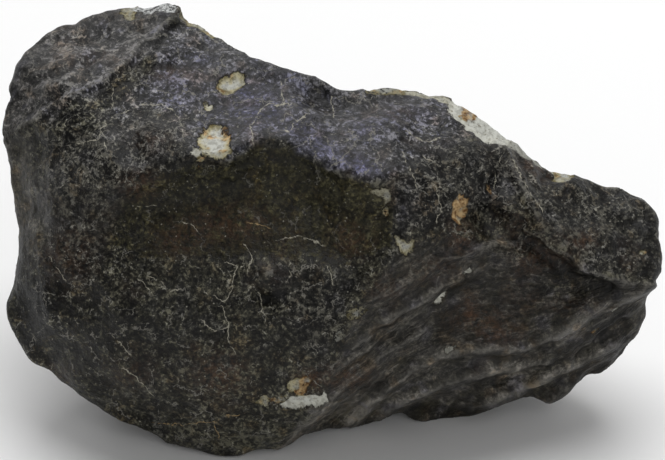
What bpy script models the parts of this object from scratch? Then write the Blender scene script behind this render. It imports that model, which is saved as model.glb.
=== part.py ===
"""A chondrite meteorite as one solid: a chunky stone with a wide level top, a hollowed broad face under a
brow, a fluted flank at one end and a small flat spot that it rests on.

The stone is drawn facing its broad face, as points across, up and out from it, in millimetres. A rim goes
once round the stone, and a front sheet and a back sheet of points are spanned between its two sides. The
rounded surface is made to pass through the drawn points. Hollows, lumps and crests are then pressed into it
or raised from it. Last, the whole is leaned back by FACE_LEAN and cut off level where it meets the ground.
"""

import math

import bmesh
import bpy
import numpy as np
from mathutils import Matrix, Vector, noise
from mathutils.geometry import delaunay_2d_cdt

LENGTH = 0.110  # the stone's longest dimension, in metres
FACE_LEAN = math.radians(30.0)  # how far the broad face leans back as the stone lies
GROUND = -34.5  # height of the flat spot below the drawing's centre after leaning, in drawn millimetres
CAGE_SUBDIVISIONS = 3
FIT_ROUNDS = 5
FIT_STEP = 0.9  # share of the remaining distance that each round of fitting makes up
MOST_TRIANGLES = 9400

# Where the stone's outline turns from front to back: (across, up, out).
RIM = [
    # left side, from the waist up
    (-52.3, 0.0, -5), (-53.3, 5.0, -6), (-53.9, 10.8, -6), (-55.2, 17.2, -6), (-54.0, 21.8, -7),
    # round the top left hump
    (-54.2, 24.9, -9), (-51.8, 30.0, -12), (-47.3, 33.6, -15), (-43.7, 34.9, -17), (-40.6, 36.5, -18),
    (-36.3, 37.9, -20), (-31.7, 38.3, -20),
    # broken corner and the long slope down the back edge of the top
    (-29.5, 38.9, -21), (-26.2, 38.9, -20), (-24.3, 36.0, -17), (-22.3, 34.8, -15), (-20.1, 32.5, -13),
    (-17.1, 30.8, -10), (-13.9, 29.3, -8), (-6.4, 26.8, -3), (0.0, 24.1, 0), (3.2, 23.2, 0),
    (8.8, 24.0, -4), (15.3, 22.4, -6), (19.9, 21.9, -7), (24.6, 19.2, -5), (28.6, 16.2, -3),
    (33.0, 12.3, -2), (36.6, 9.5, -2), (40.2, 9.3, -4), (46.3, 6.9, -6), (49.7, 6.2, -7),
    # right end
    (53.9, 3.7, -7), (54.5, -1.8, -3), (55.0, -5.8, 0), (52.9, -9.1, -1), (52.7, -12.7, -4),
    (52.0, -16.8, -7), (49.5, -20.0, -9),
    # scalloped lower edge
    (45.9, -23.8, -11), (42.9, -24.3, -11), (40.4, -25.8, -12), (37.7, -28.8, -14), (32.0, -28.6, -13),
    (24.5, -31.4, -14), (18.3, -32.4, -14), (14.5, -32.5, -13), (11.4, -31.0, -11), (6.4, -32.2, -10),
    (-0.1, -33.6, -8), (-5.7, -34.8, -6), (-8.8, -36.9, -4), (-12.8, -37.1, -3), (-16.8, -38.2, -3),
    (-23.7, -36.8, -4),
    # long slope up to the lower left lobe
    (-28.5, -34.5, -5), (-34.4, -32.1, -5), (-39.8, -29.7, -6), (-43.8, -26.2, -6), (-47.6, -23.3, -5),
    (-51.8, -20.5, -5), (-54.6, -14.3, -5), (-53.5, -9.2, -6), (-52.5, -4.2, -5),
]

# The front, between the rim and the viewer.
FRONT = [
    # top left hump, and the crest that crosses it down to the left side
    (-47.5, 26.0, 0), (-42.0, 30.0, -5), (-35.0, 33.0, -9), (-29.0, 34.5, -13),
    (-28.5, 31.0, -5), (-34.5, 26.8, 4), (-40.0, 22.8, 7), (-46.0, 19.2, 6), (-51.0, 17.0, 1),
    # foot of the crest
    (-25.5, 29.5, -5), (-32.0, 25.0, 3.5), (-38.5, 19.8, 9), (-45.0, 15.0, 8.5),
    # level top, left and middle
    (-20.0, 26.5, -2), (-25.0, 22.5, 5), (-31.0, 17.5, 12), (-37.5, 13.5, 15), (-44.0, 11.0, 12),
    (-12.5, 22.5, 3), (-18.0, 18.0, 12), (-24.0, 14.5, 18), (-6.0, 21.0, 6), (-10.0, 17.8, 13),
    # lip above the brow, right of the middle
    (-1.0, 17.5, 13), (2.5, 14.0, 19), (5.0, 20.0, 5), (9.0, 15.0, 17), (13.0, 19.0, 7),
    (19.0, 18.8, 4), (23.5, 16.0, 5),
    # brow over the hollow
    (-38.0, 8.5, 17), (-31.0, 9.6, 20), (-24.0, 11.2, 22), (-17.5, 12.9, 23), (-12.5, 15.2, 20),
    (-7.5, 15.0, 20), (-3.5, 12.2, 22), (1.5, 9.8, 25), (6.5, 8.2, 27), (10.5, 9.0, 26),
    # hollow under the brow
    (-36.0, 3.0, 16), (-27.0, 5.0, 17.8), (-18.0, 7.0, 18.8), (-9.0, 8.5, 18.8), (-1.0, 5.5, 21),
    (-25.0, -2.0, 18.4), (-14.0, 0.5, 19.2), (-3.0, -1.0, 20.8), (5.5, 2.5, 23.6), (6.0, -4.0, 23.8),
    # left edge of the broad face
    (-47.0, 6.0, 8), (-46.5, 0.0, 8), (-47.0, -4.5, 8), (-41.0, -1.0, 13), (-49.5, -9.0, 5),
    # lower half of the broad face
    (-38.0, -8.5, 15), (-28.0, -8.5, 18.8), (-18.0, -7.5, 20.6), (-8.0, -7.5, 22.2), (1.5, -10.0, 24.0),
    (-46.0, -15.0, 8), (-36.0, -18.0, 14), (-25.0, -17.5, 18), (-13.0, -16.5, 20.6), (-4.0, -18.5, 21),
    (-40.0, -24.5, 6), (-29.0, -26.5, 10), (-18.0, -26.0, 14), (-8.0, -26.0, 15), (-20.0, -33.0, 5),
    (-11.0, -32.5, 6),
    # edge between the broad face and the fluted flank
    (11.0, 0.5, 26), (11.5, -4.0, 26), (7.0, -9.0, 26), (3.5, -14.0, 24.5), (1.0, -21.0, 20),
    (-1.5, -27.5, 13), (-5.5, -31.0, 6),
    # shoulder right of the brow
    (14.0, 12.0, 20), (18.0, 14.5, 13), (15.5, 6.0, 25), (20.0, 8.5, 20), (25.0, 12.5, 12),
    (16.5, 0.5, 24.5), (21.5, 2.0, 20), (26.0, 5.0, 14), (29.5, 11.0, 7), (32.0, 5.5, 12),
    (25.5, 1.0, 13.5),
    # right end plate and its overhanging lower edge
    (35.0, 0.5, 13), (38.0, 5.0, 7), (41.0, -4.5, 12), (44.0, 1.5, 5), (46.5, -7.3, 8), (50.0, -2.0, 2),
    (51.0, -7.0, 5),
    # fluted flank
    (17.5, -4.0, 22), (25.0, -3.0, 17), (32.0, -3.5, 12), (38.5, -7.5, 8), (45.5, -10.5, 4),
    (14.0, -10.5, 20.5), (21.0, -8.0, 17), (29.0, -9.0, 12.5), (10.0, -18.0, 17.5), (20.0, -14.5, 14.5),
    (29.0, -15.0, 10.5), (37.5, -13.0, 7), (15.0, -20.5, 13.5), (25.0, -21.0, 9), (35.0, -18.0, 5.5),
    (43.0, -14.0, 3.5), (6.0, -26.0, 10.5), (16.0, -26.5, 5), (26.0, -26.0, 0.5), (36.0, -23.5, -3),
    (44.0, -19.0, -3),
]

# The back, out of sight from the broad face, down to the flat spot.
BACK = [
    # upper back, behind the level top
    (-46.0, 24.0, -22), (-37.0, 28.0, -29), (-27.5, 28.5, -32), (-17.0, 22.5, -24), (-7.0, 19.5, -18),
    (3.0, 16.5, -14), (13.0, 16.0, -19), (22.0, 13.5, -17), (30.0, 8.0, -14), (40.0, 3.0, -14),
    # middle of the back
    (-46.0, 11.0, -20), (-37.0, 17.0, -33), (-25.0, 15.0, -37), (-12.0, 12.0, -31), (1.0, 8.0, -26),
    (14.0, 6.0, -28), (26.0, 2.0, -23), (37.0, -4.0, -20), (47.0, -4.0, -14),
    (-45.5, -1.0, -18), (-38.0, 2.0, -29), (-26.0, -1.0, -36), (-12.0, -3.0, -37), (3.0, -6.0, -33),
    (16.0, -8.0, -32), (28.0, -11.0, -26), (39.0, -14.0, -20),
    # low on the back, above the flat spot
    (-45.5, -13.0, -16), (-39.0, -12.0, -26), (-27.0, -14.0, -35), (-12.0, -15.0, -39), (4.0, -17.0, -36),
    (17.0, -19.0, -30), (28.0, -21.0, -24), (-40.0, -22.5, -18), (-33.0, -25.5, -22),
    # flat spot, whose middle bulges below the ground so that the cut leaves a level patch
    (-27.0, -30.5, -13.4), (-12.0, -34.0, -11.0), (2.0, -31.0, -15.8), (16.0, -27.5, -18.2),
    (-24.0, -23.0, -28.4), (-10.0, -27.5, -23.6), (-10.0, -21.0, -34.4), (6.0, -23.0, -28.2),
]

# The rolled edge on each side of the rim: (how far in from it, how far towards that side, how much of the
# rim's waviness it keeps, how far it stays from the side's other points).
FRONT_ROLL = (2.4, 4.0, 0.8, 3.6)
BACK_ROLL = (4.0, -7.0, 0.35, 3.2)

# Hollows (negative height) and lumps on the front: (across, up, half length, half width, turn, height).
# The turn is in degrees, anticlockwise.
FRONT_FORMS = [
    # top left hump
    (-38.7, 33.0, 4.0, 2.6, 20, -0.9), (-43.5, 30.5, 3.0, 2.2, 40, -0.6), (-45.0, 25.5, 5.0, 3.0, 30, 0.6),
    (-34.0, 31.0, 5.5, 1.8, 35, -0.7), (-49.5, 22.5, 3.0, 2.0, 20, -0.6), (-41.0, 26.8, 6.0, 1.6, 30, -0.6),
    # below the crest
    (-35.7, 21.8, 4.6, 3.2, 35, -1.3), (-29.4, 25.8, 3.2, 2.6, 0, -1.0), (-43.0, 14.5, 4.0, 2.6, 25, -0.9),
    (-28.6, 16.0, 4.4, 4.0, 0, 0.9), (-36.2, 14.0, 4.0, 3.4, 0, 0.8), (-32.4, 12.6, 2.6, 4.2, 0, -0.7),
    (-24.0, 21.0, 4.0, 3.0, 20, -0.5),
    # level top and its lip
    (-1.0, 21.8, 4.4, 2.6, -10, -1.5), (7.0, 16.0, 5.6, 3.2, 10, 0.8), (-8.0, 21.0, 5.0, 3.0, -20, 0.6),
    (15.0, 17.5, 3.4, 2.6, 0, -0.8), (21.0, 14.0, 4.0, 3.0, -30, 0.6), (-15.0, 21.0, 4.0, 2.4, 0, -0.6),
    # hollow under the brow
    (-20.0, 4.5, 8.0, 4.0, 5, -0.8), (-3.0, 6.0, 7.0, 3.2, -15, -0.9), (-33.0, 3.0, 5.0, 3.6, 20, -0.8),
    (-11.0, -3.5, 5.0, 2.4, 0, -0.5),
    # lower half of the broad face
    (-11.0, -7.0, 4.2, 2.8, 5, 0.9), (-2.0, -7.4, 3.6, 3.0, 0, 0.8), (-10.5, -11.4, 3.0, 2.2, -15, -1.2),
    (-4.8, -13.6, 4.0, 2.8, -20, 0.7), (-25.0, -11.8, 4.6, 2.2, -20, -0.9), (-23.8, -14.6, 2.6, 2.4, 0, 0.7),
    (-12.0, -15.5, 2.6, 4.0, 0, -0.6), (-33.0, -13.0, 4.0, 3.0, 20, 0.7), (-41.0, -12.5, 4.4, 3.4, 0, -0.9),
    (-30.0, -20.5, 5.0, 3.6, -20, -0.8), (-18.5, -21.5, 5.0, 3.4, 10, 0.7), (-38.0, -4.0, 4.0, 3.0, 0, -0.7),
    (-13.0, -28.5, 6.0, 3.4, -10, -0.8), (-23.0, -29.5, 5.0, 3.0, -15, 0.6), (-8.8, -21.0, 3.0, 5.0, 0, -0.7),
    (-47.0, -13.0, 3.0, 4.0, 0, 0.6), (-5.2, -24.2, 3.0, 2.0, 0, -1.0),
    # shoulder
    (12.4, 2.8, 3.6, 3.2, 0, 0.9), (17.0, 3.2, 1.6, 4.0, 0, -0.7), (22.0, 3.4, 1.7, 2.6, 0, -0.7),
    (26.2, 2.0, 3.0, 2.4, 20, -1.8), (27.0, 8.6, 3.0, 2.4, -40, -0.7), (14.0, 8.5, 3.0, 2.6, 0, 0.5),
    (18.6, 10.0, 3.2, 2.0, 30, -0.6),
    # right end plate
    (41.0, 2.6, 4.0, 2.6, -20, -0.7), (45.5, -1.6, 3.6, 2.8, 0, 0.6), (50.0, 1.0, 2.4, 2.6, 0, -0.6),
    (38.0, -1.0, 2.6, 2.0, -30, 0.5), (49.4, -5.0, 2.2, 2.0, 0, -0.5),
    # fluted flank
    (27.5, -12.0, 9.0, 4.6, 12, -1.1), (8.8, -16.6, 3.0, 1.8, 30, -1.2), (11.6, -21.6, 2.4, 1.2, 25, -0.8),
    (7.0, -26.0, 4.2, 1.4, 25, -1.0), (26.0, -25.0, 4.2, 1.7, 5, -1.2), (36.6, -25.4, 3.0, 1.6, 20, -0.9),
    (46.4, -17.2, 3.8, 1.7, 30, -1.2), (18.0, -28.4, 5.0, 2.4, 5, -1.3), (41.6, -20.4, 2.2, 1.2, 35, -0.8),
    (33.0, -7.0, 5.0, 2.2, 15, -0.8), (38.0, -10.2, 4.0, 1.8, 15, -0.7),
]

# The same on the back and underneath.
BACK_FORMS = [
    (-30.0, 20.0, 9.0, 6.5, 25, -2.4), (-13.0, 14.0, 7.5, 6.0, 0, -2.1), (2.0, 4.0, 8.0, 6.0, -20, -2.2),
    (17.0, 2.0, 7.0, 5.0, 15, -1.8), (30.0, -3.0, 7.0, 4.5, -10, -1.8), (-20.0, 2.0, 8.0, 6.0, 10, -2.2),
    (-37.0, 6.0, 7.0, 5.0, 70, -2.1), (-33.0, -9.0, 7.0, 5.0, -30, -2.0), (-8.0, -8.0, 8.0, 5.0, 0, -2.0),
    (9.0, -12.0, 7.0, 5.0, 30, -2.0), (22.0, -13.0, 6.5, 4.5, 0, -1.8), (37.0, -11.0, 5.0, 4.0, 0, -1.5),
    (-44.0, 18.0, 5.0, 4.0, 60, -1.7), (-41.0, -18.0, 5.0, 4.0, -40, -1.7), (29.0, -19.0, 5.0, 3.0, 20, -1.5),
    (-5.0, 19.0, 5.0, 3.0, -10, 0.9), (12.0, 13.0, 5.0, 3.4, 0, 0.9), (45.0, -4.0, 4.0, 4.0, 0, -0.9),
    (-24.0, -12.0, 5.0, 3.0, 20, 0.8), (-46.0, 3.0, 4.0, 5.0, 0, 0.8),
]

# Crests raised along a line across the front: (height, half width, the points of the line). A negative
# height is a furrow.
CRESTS = [
    # across the top left hump
    (0.6, 2.2, [(-29.0, 31.0), (-34.5, 26.8), (-40.0, 22.8), (-44.5, 20.0)]),
    (0.8, 1.8, [(-27.0, 35.5), (-31.0, 32.3), (-38.5, 27.2), (-44.0, 24.0), (-51.0, 21.0)]),
    (-0.9, 1.5, [(-28.7, 35.8), (-33.0, 32.6), (-38.0, 28.8), (-42.0, 27.0)]),
    (0.6, 1.5, [(-34.0, 35.5), (-38.5, 31.5), (-44.0, 28.0), (-49.0, 25.5)]),
    # along the brow
    (0.7, 2.4, [(-25.0, 10.8), (-18.0, 12.4), (-13.0, 15.2), (-8.0, 15.2)]),
    (0.9, 2.6, [(-7.0, 14.6), (-4.0, 12.6), (1.0, 10.2), (6.0, 8.4), (10.0, 9.3)]),
    # along the edge of the fluted flank
    (0.9, 2.4, [(11.5, -3.0), (7.0, -8.5), (3.0, -14.0), (1.0, -20.0), (-2.0, -28.0), (-9.0, -34.5)]),
    # straight ridge down the shoulder, and the lower edge of the end plate
    (1.0, 1.8, [(28.0, 14.0), (31.5, 7.0), (35.0, 0.2)]),
    (0.8, 1.8, [(34.0, -1.0), (38.5, -3.6), (43.0, -7.0), (47.0, -8.3)]),
    # flow lines down the fluted flank
    (1.0, 1.8, [(10.0, -10.0), (16.0, -7.5), (20.0, -5.7), (26.0, -4.0), (33.0, -4.0)]),
    (0.9, 1.6, [(4.0, -17.0), (9.0, -12.6), (13.0, -10.2), (16.0, -9.2)]),
    (0.8, 1.6, [(13.0, -18.0), (16.0, -13.0), (18.0, -10.5), (21.0, -8.0)]),
    (1.5, 2.4, [(0.0, -28.0), (5.0, -24.0), (10.0, -20.5), (15.0, -19.2), (20.0, -19.8), (30.0, -20.0),
                (35.0, -17.5), (38.0, -14.0), (42.0, -12.0), (47.0, -10.0), (52.0, -9.2)]),
    (0.9, 1.6, [(12.0, -28.0), (16.0, -26.0), (20.0, -23.5), (27.0, -22.8), (31.0, -22.0)]),
    (1.3, 2.0, [(24.0, -29.0), (30.0, -27.0), (34.0, -25.0), (38.0, -22.5), (41.0, -20.0), (44.0, -17.0),
                (48.0, -14.0), (51.0, -12.0)]),
    (0.8, 1.6, [(38.0, -27.0), (41.0, -24.0), (45.0, -21.0)]),
]

# The surface's own unevenness: (size across of its lumps, height).
WAVES = [(16.0, 0.55), (7.0, 0.38), (3.4, 0.2)]


def clear_scene():
    for item in list(bpy.data.objects):
        bpy.data.objects.remove(item, do_unlink=True)


def rolled_edge(inner, inset, turned, follow, spacing):
    """Points just in from the rim and to one side of it, leaving out any that come close to another."""
    rim = np.array(RIM, float)
    near = (3 * rim + 2 * np.roll(rim, 1, 0) + 2 * np.roll(rim, -1, 0) + np.roll(rim, 2, 0)
            + np.roll(rim, -2, 0)) / 9
    along = np.roll(near, -1, 0) - np.roll(near, 1, 0)
    inward = np.stack([along[:, 1], -along[:, 0]], 1)
    inward /= np.linalg.norm(inward, axis=1, keepdims=True)
    ring = near + (rim - near) * follow
    ring[:, :2] += inward * inset
    ring[:, 2] = near[:, 2] + turned
    kept = [np.array(point, float) for point in inner]
    added = []
    for point in ring:
        if all(np.hypot(*(point - other)[:2]) > spacing for other in kept):
            kept.append(point)
            added.append(tuple(point))
    return inner + added


def spanned(inner):
    """Triangles of points inside the rim, as indices into RIM + inner. They all wind the same way."""
    flat = [Vector(point[:2]) for point in RIM + inner]
    loop = [(i, (i + 1) % len(RIM)) for i in range(len(RIM))]
    found = delaunay_2d_cdt(flat, loop, [], 1, 1e-6)
    back_to_input = [sources[0] for sources in found[3]]
    return [[back_to_input[i] for i in face] for face in found[2]]


def make_cage():
    """The closed cage in drawn millimetres: front and back sheets that share the rim."""
    front = rolled_edge(FRONT, *FRONT_ROLL)
    back = rolled_edge(BACK, *BACK_ROLL)
    faces = spanned(front)
    for face in spanned(back):
        faces.append([i if i < len(RIM) else i + len(front) for i in reversed(face)])
    mesh = bpy.data.meshes.new("cage")
    mesh.from_pydata([(x, -out, up) for x, up, out in RIM + front + back], [], faces)
    return mesh


def points_of(mesh):
    points = np.empty(len(mesh.vertices) * 3, np.float32)
    mesh.vertices.foreach_get("co", points)
    return points.reshape(-1, 3).astype(float)


def normals_of(mesh):
    normals = np.empty(len(mesh.vertices) * 3, np.float32)
    mesh.vertices.foreach_get("normal", normals)
    return normals.reshape(-1, 3).astype(float)


def move_points(mesh, points):
    mesh.vertices.foreach_set("co", points.astype(np.float32).ravel())
    mesh.update()


def evaluated(obj):
    bpy.context.view_layer.update()
    return obj.evaluated_get(bpy.context.evaluated_depsgraph_get())


def fit_cage(stone):
    """Moves the cage's points until the rounded surface passes through the drawn ones."""
    drawn = points_of(stone.data)
    cage = drawn.copy()
    for _ in range(FIT_ROUNDS):
        reached = points_of(evaluated(stone).data)[: len(drawn)]
        cage += FIT_STEP * (drawn - reached)
        move_points(stone.data, cage)


def round_off(stone):
    """Replaces the cage by its rounded surface."""
    modifier = stone.modifiers.new("round", "SUBSURF")
    modifier.levels = CAGE_SUBDIVISIONS
    modifier.render_levels = CAGE_SUBDIVISIONS
    fit_cage(stone)
    rounded = bpy.data.meshes.new_from_object(evaluated(stone))
    stone.modifiers.clear()
    stone.data = rounded


def faded(value, start, end):
    """0 at start, 1 at end, and smooth between."""
    share = np.clip((value - start) / (end - start), 0.0, 1.0)
    return share * share * (3.0 - 2.0 * share)


def form_heights(across, up, forms):
    heights = np.zeros(len(across))
    for x, y, half_length, half_width, turn, height in forms:
        angle = math.radians(turn)
        along = (across - x) * math.cos(angle) + (up - y) * math.sin(angle)
        aside = (up - y) * math.cos(angle) - (across - x) * math.sin(angle)
        reach = (along / half_length) ** 2 + (aside / half_width) ** 2
        heights += height * np.clip(1.0 - reach / 2.0, 0.0, 1.0) ** 2
    return heights


def crest_heights(across, up):
    heights = np.zeros(len(across))
    for height, half_width, line in CRESTS:
        nearest = np.full(len(across), np.inf)
        for (x0, y0), (x1, y1) in zip(line, line[1:]):
            length_squared = (x1 - x0) ** 2 + (y1 - y0) ** 2
            share = np.clip(((across - x0) * (x1 - x0) + (up - y0) * (y1 - y0)) / length_squared, 0.0, 1.0)
            away = np.hypot(across - x0 - share * (x1 - x0), up - y0 - share * (y1 - y0))
            nearest = np.minimum(nearest, away)
        heights += height * np.clip(1.0 - nearest / half_width, 0.0, 1.0) ** 1.5
    return heights


def wave_heights(points):
    heights = np.zeros(len(points))
    for size, height in WAVES:
        heights += height * np.array([noise.noise(Vector(point) / size) for point in points])
    return heights


def press_forms(mesh):
    """Moves the surface in and out along its normals by the hollows, lumps, crests and waves."""
    points = points_of(mesh)
    normals = normals_of(mesh)
    across, up = points[:, 0], points[:, 2]
    facing = -normals[:, 1]
    heights = faded(facing, 0.0, 0.35) * (form_heights(across, up, FRONT_FORMS) + crest_heights(across, up))
    heights += faded(-facing, 0.0, 0.35) * form_heights(across, up, BACK_FORMS)
    heights += wave_heights(points)
    move_points(mesh, points + normals * heights[:, None])


def cut_level(mesh):
    """Leans the stone back and cuts it off flat at the ground."""
    mesh.transform(Matrix.Rotation(-FACE_LEAN, 4, "X"))
    shape = bmesh.new()
    shape.from_mesh(mesh)
    found = bmesh.ops.bisect_plane(
        shape, geom=shape.verts[:] + shape.edges[:] + shape.faces[:],
        plane_co=(0.0, 0.0, GROUND), plane_no=(0.0, 0.0, -1.0), clear_outer=True,
    )
    edges = [item for item in found["geom_cut"] if isinstance(item, bmesh.types.BMEdge)]
    bmesh.ops.holes_fill(shape, edges=edges, sides=0)
    bmesh.ops.triangulate(shape, faces=shape.faces[:])
    shape.to_mesh(mesh)
    shape.free()


def thin_out(stone):
    """Brings the triangle count down, keeping most of them where the surface bends."""
    modifier = stone.modifiers.new("thin", "DECIMATE")
    stone.data.calc_loop_triangles()
    modifier.ratio = MOST_TRIANGLES / len(stone.data.loop_triangles)
    thinned = bpy.data.meshes.new_from_object(evaluated(stone))
    stone.modifiers.clear()
    stone.data = thinned


def set_down(mesh):
    """Brings the mesh to size, and stands its box on the ground, centred over the origin."""
    points = points_of(mesh)
    low, high = points.min(axis=0), points.max(axis=0)
    middle = (low + high) / 2
    scale = LENGTH / (high[0] - low[0])
    move_points(mesh, (points - (middle[0], middle[1], low[2])) * scale)


def crust_material():
    material = bpy.data.materials.new("fusion_crust")
    material.use_nodes = True
    shader = material.node_tree.nodes["Principled BSDF"]
    shader.inputs["Base Color"].default_value = (0.030, 0.028, 0.028, 1.0)
    shader.inputs["Roughness"].default_value = 0.6
    return material


def main():
    clear_scene()
    group = bpy.data.collections.new("chondrite_meteorite")
    bpy.context.scene.collection.children.link(group)
    stone = bpy.data.objects.new("stone", make_cage())
    group.objects.link(stone)
    round_off(stone)
    press_forms(stone.data)
    thin_out(stone)
    cut_level(stone.data)
    set_down(stone.data)
    stone.data.materials.append(crust_material())


main()
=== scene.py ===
"""Dresses the chondrite meteorite: one stone under a thin black fusion crust.

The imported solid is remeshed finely, and lumps, flow ridges, pits and chips are worked into it. What differs
from place to place is worked out at each point of the mesh and kept as attributes, which the material reads.

Places are given as the stone is drawn from the front: millimetres across and up from the middle of the
drawing, for an eye EYE_DISTANCE away. Other lengths are in millimetres too, unless a comment says otherwise.
"""

import math
from types import SimpleNamespace

import bmesh
import bpy
import numpy as np
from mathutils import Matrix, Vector, noise


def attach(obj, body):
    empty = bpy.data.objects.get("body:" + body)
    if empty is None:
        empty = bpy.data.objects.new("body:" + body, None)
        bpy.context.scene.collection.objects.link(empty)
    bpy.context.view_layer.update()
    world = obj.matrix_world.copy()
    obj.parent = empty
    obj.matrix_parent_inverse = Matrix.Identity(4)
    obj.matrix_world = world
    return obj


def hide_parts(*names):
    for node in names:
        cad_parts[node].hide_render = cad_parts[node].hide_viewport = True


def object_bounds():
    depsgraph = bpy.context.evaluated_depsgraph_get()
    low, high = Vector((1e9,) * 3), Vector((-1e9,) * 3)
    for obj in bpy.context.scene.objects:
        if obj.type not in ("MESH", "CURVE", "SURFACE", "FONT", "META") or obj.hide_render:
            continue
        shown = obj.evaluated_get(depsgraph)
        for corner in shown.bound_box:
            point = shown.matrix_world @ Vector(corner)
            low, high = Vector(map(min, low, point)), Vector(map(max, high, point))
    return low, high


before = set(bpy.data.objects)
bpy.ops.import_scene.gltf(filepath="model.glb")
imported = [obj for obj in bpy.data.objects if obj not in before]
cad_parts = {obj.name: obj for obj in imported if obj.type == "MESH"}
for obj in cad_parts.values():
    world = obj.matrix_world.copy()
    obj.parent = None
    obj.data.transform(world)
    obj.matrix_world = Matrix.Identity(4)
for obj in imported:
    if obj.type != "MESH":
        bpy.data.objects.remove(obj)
cad_low, cad_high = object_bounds()

# ---- the drawing ----

UNIT = 0.99544e-3  # one drawn millimetre, in metres
MIDDLE = (0.0000347, -0.006454, 0.034343)  # where the middle of the drawing is on the stone, in metres
LEAN = math.radians(30.0)  # how far the drawn face leans back
EYE_DISTANCE = 1000.0  # from the middle of the drawing to the eye
FRONT_FADE = (-0.25, 0.1)  # how far a face looks to the front where the front's marks start, and are whole

# ---- the mesh ----

VOXEL = 0.00055  # in metres
SMOOTH_ROUNDS, SMOOTH_SHARE = 7, 0.5
EVENED = (-33.5, 25.0, 6.0, 6.0)  # the step under the hump: across, up, half width, half height
EVEN_ROUNDS, EVEN_SHARE = 70, 0.6
LUMPS = [(6.0, 0.22), (2.9, 0.20), (1.5, 0.13)]  # (size across, height)
THUMBPRINTS, THUMBPRINT_SIZE = 1.0, 11.0  # height and size of the broad hollows on the back
# roughness made of layers: (size, seed, amount)
ZONE_EDGE = [(4.0, 1.0, 1.2), (1.6, 2.0, 0.7)]
RIDGES = [(1.9, 5.0, 0.36), (0.95, 6.0, 0.14)]
CHIP_EDGE = [(1.3, 8.0, 0.35), (0.7, 9.0, 0.18)]
CHIP_FLOOR = [(1.1, 14.0, 0.12), (2.4, 15.0, 0.12)]
BEND, BEND_SIZE = 0.6, 3.2  # how far pits, crests and undercuts wander from where they are drawn
POCK_SPACING, POCK_RADIUS, POCK_DEPTH = 2.6, 0.33, 0.32  # small pocks; the radius is a share of the spacing
CHIP_DEPTH = 0.55
CHIP_REACH, EDGE_CHIP_REACH = 0.25, 0.6  # how far chips go round the stone where it turns from the front
CRACK_REACH = (0.8, 1.3)  # how far from a crack its line may wander, and where it has ended
GROUND_FADE = 1.6  # how far above the ground the surface starts to be reworked
SKIN_START, SKIN_DEPTH = -22.0, 0.5  # in front of that depth, depths count by this share in the crust's grain
FRONT_REACH = 2.2  # how much further round the stone the pattern laid from the front goes than the others
FAR = 9.0  # further than any chip, crack or crest reaches

# ---- kinds of crust, as outlines on the drawing ----

# smooth crust that flowed while it was molten: on the top left hump, down the left edge, and on the flank
HUMP = [(-60, 14), (-51, 17.2), (-44.5, 19.8), (-40, 22.4), (-34.5, 26.4), (-29.4, 30.4), (-27, 36),
        (-24, 44), (-60, 44)]
LEFT_EDGE = [(-62, 16), (-50.5, 16), (-49, 8), (-48, 0), (-49.5, -5), (-53, -9), (-62, -10)]
FLANK = [(13, -1.5), (7.4, -8.5), (3.4, -14), (1.2, -20), (-1.8, -28), (-8, -34), (-12, -42), (62, -42),
         (62, -9.5), (47, -8.4), (43, -7.4), (38.5, -4.2), (34, -1.4), (26, -0.8), (20, -3)]
# dark olive crust in the hollow under the brow
HOLLOW = [(-42, 5), (-34, 8.4), (-24, 10.4), (-17.5, 11), (-12.5, 14), (-7.5, 14.4), (-3.5, 11), (1.5, 9.2),
          (6.5, 7.6), (10.5, 4), (10, -3), (2, -5), (-8, -4), (-20, -4.5), (-32, -4), (-40, -2)]
# bluish crust on the level top, lighter than the rest partly as painted sheen
TOP = [(-39, 18), (-36, 20.5), (-30, 27), (-27.5, 33), (-20, 40), (30, 34), (27, 17), (20, 14), (14, 12),
       (10.5, 9), (6.5, 8.2), (1.5, 9.8), (-3.5, 11.8), (-7.5, 15), (-12.5, 14.8), (-17.5, 11.6),
       (-23.5, 11.6), (-25, 16), (-27, 19), (-31, 20), (-35, 18.5)]
# speckled crust: the right end, the shoulder, the left front, and low beside the flank
SPECKLED = [
    [(34.4, -0.6), (38.5, -3.4), (43, -6.8), (47, -8), (62, -9), (62, 14), (35, 14), (30, 12), (33, 6)],
    [(9, 8), (10.5, 9), (14, 12), (20, 14), (27, 17), (34, 14), (33, 8), (28, 4), (22, 3), (16, -1), (11, 0)],
    [(-48, 15), (-40, 17), (-35, 18.5), (-31, 20), (-27, 19), (-25, 16), (-23.5, 11.6), (-31, 9), (-35, 4),
     (-38, -4), (-40, -9), (-48, -9)],
    [(-10, -8), (-3, -6), (4, -8), (2, -14), (0, -20), (-4, -21), (-7, -14)],
]

# (outline, width of its edge) of each kind
ZONES = {"hump": (HUMP, 1.0), "left_edge": (LEFT_EDGE, 1.6), "flank": (FLANK, 0.6), "hollow": (HOLLOW, 1.0),
         "top": (TOP, 0.8)}
SPECKLED_EDGE = 1.2
# how smooth the crust is on the hump, down the left edge and in patches on the back, where the flank is 1
HUMP_SMOOTH, EDGE_SMOOTH, PATCH_SMOOTH = 0.50, 0.7, 0.7
# the hump takes the level top's colour, which is lighter partly as painted sheen
HUMP_BLUISH = 0.85  # how bluish the hump is, where the level top is 1
LIVELY_ROUGHENS, LIVELY_LIMIT = 0.8, 1.15

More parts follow.
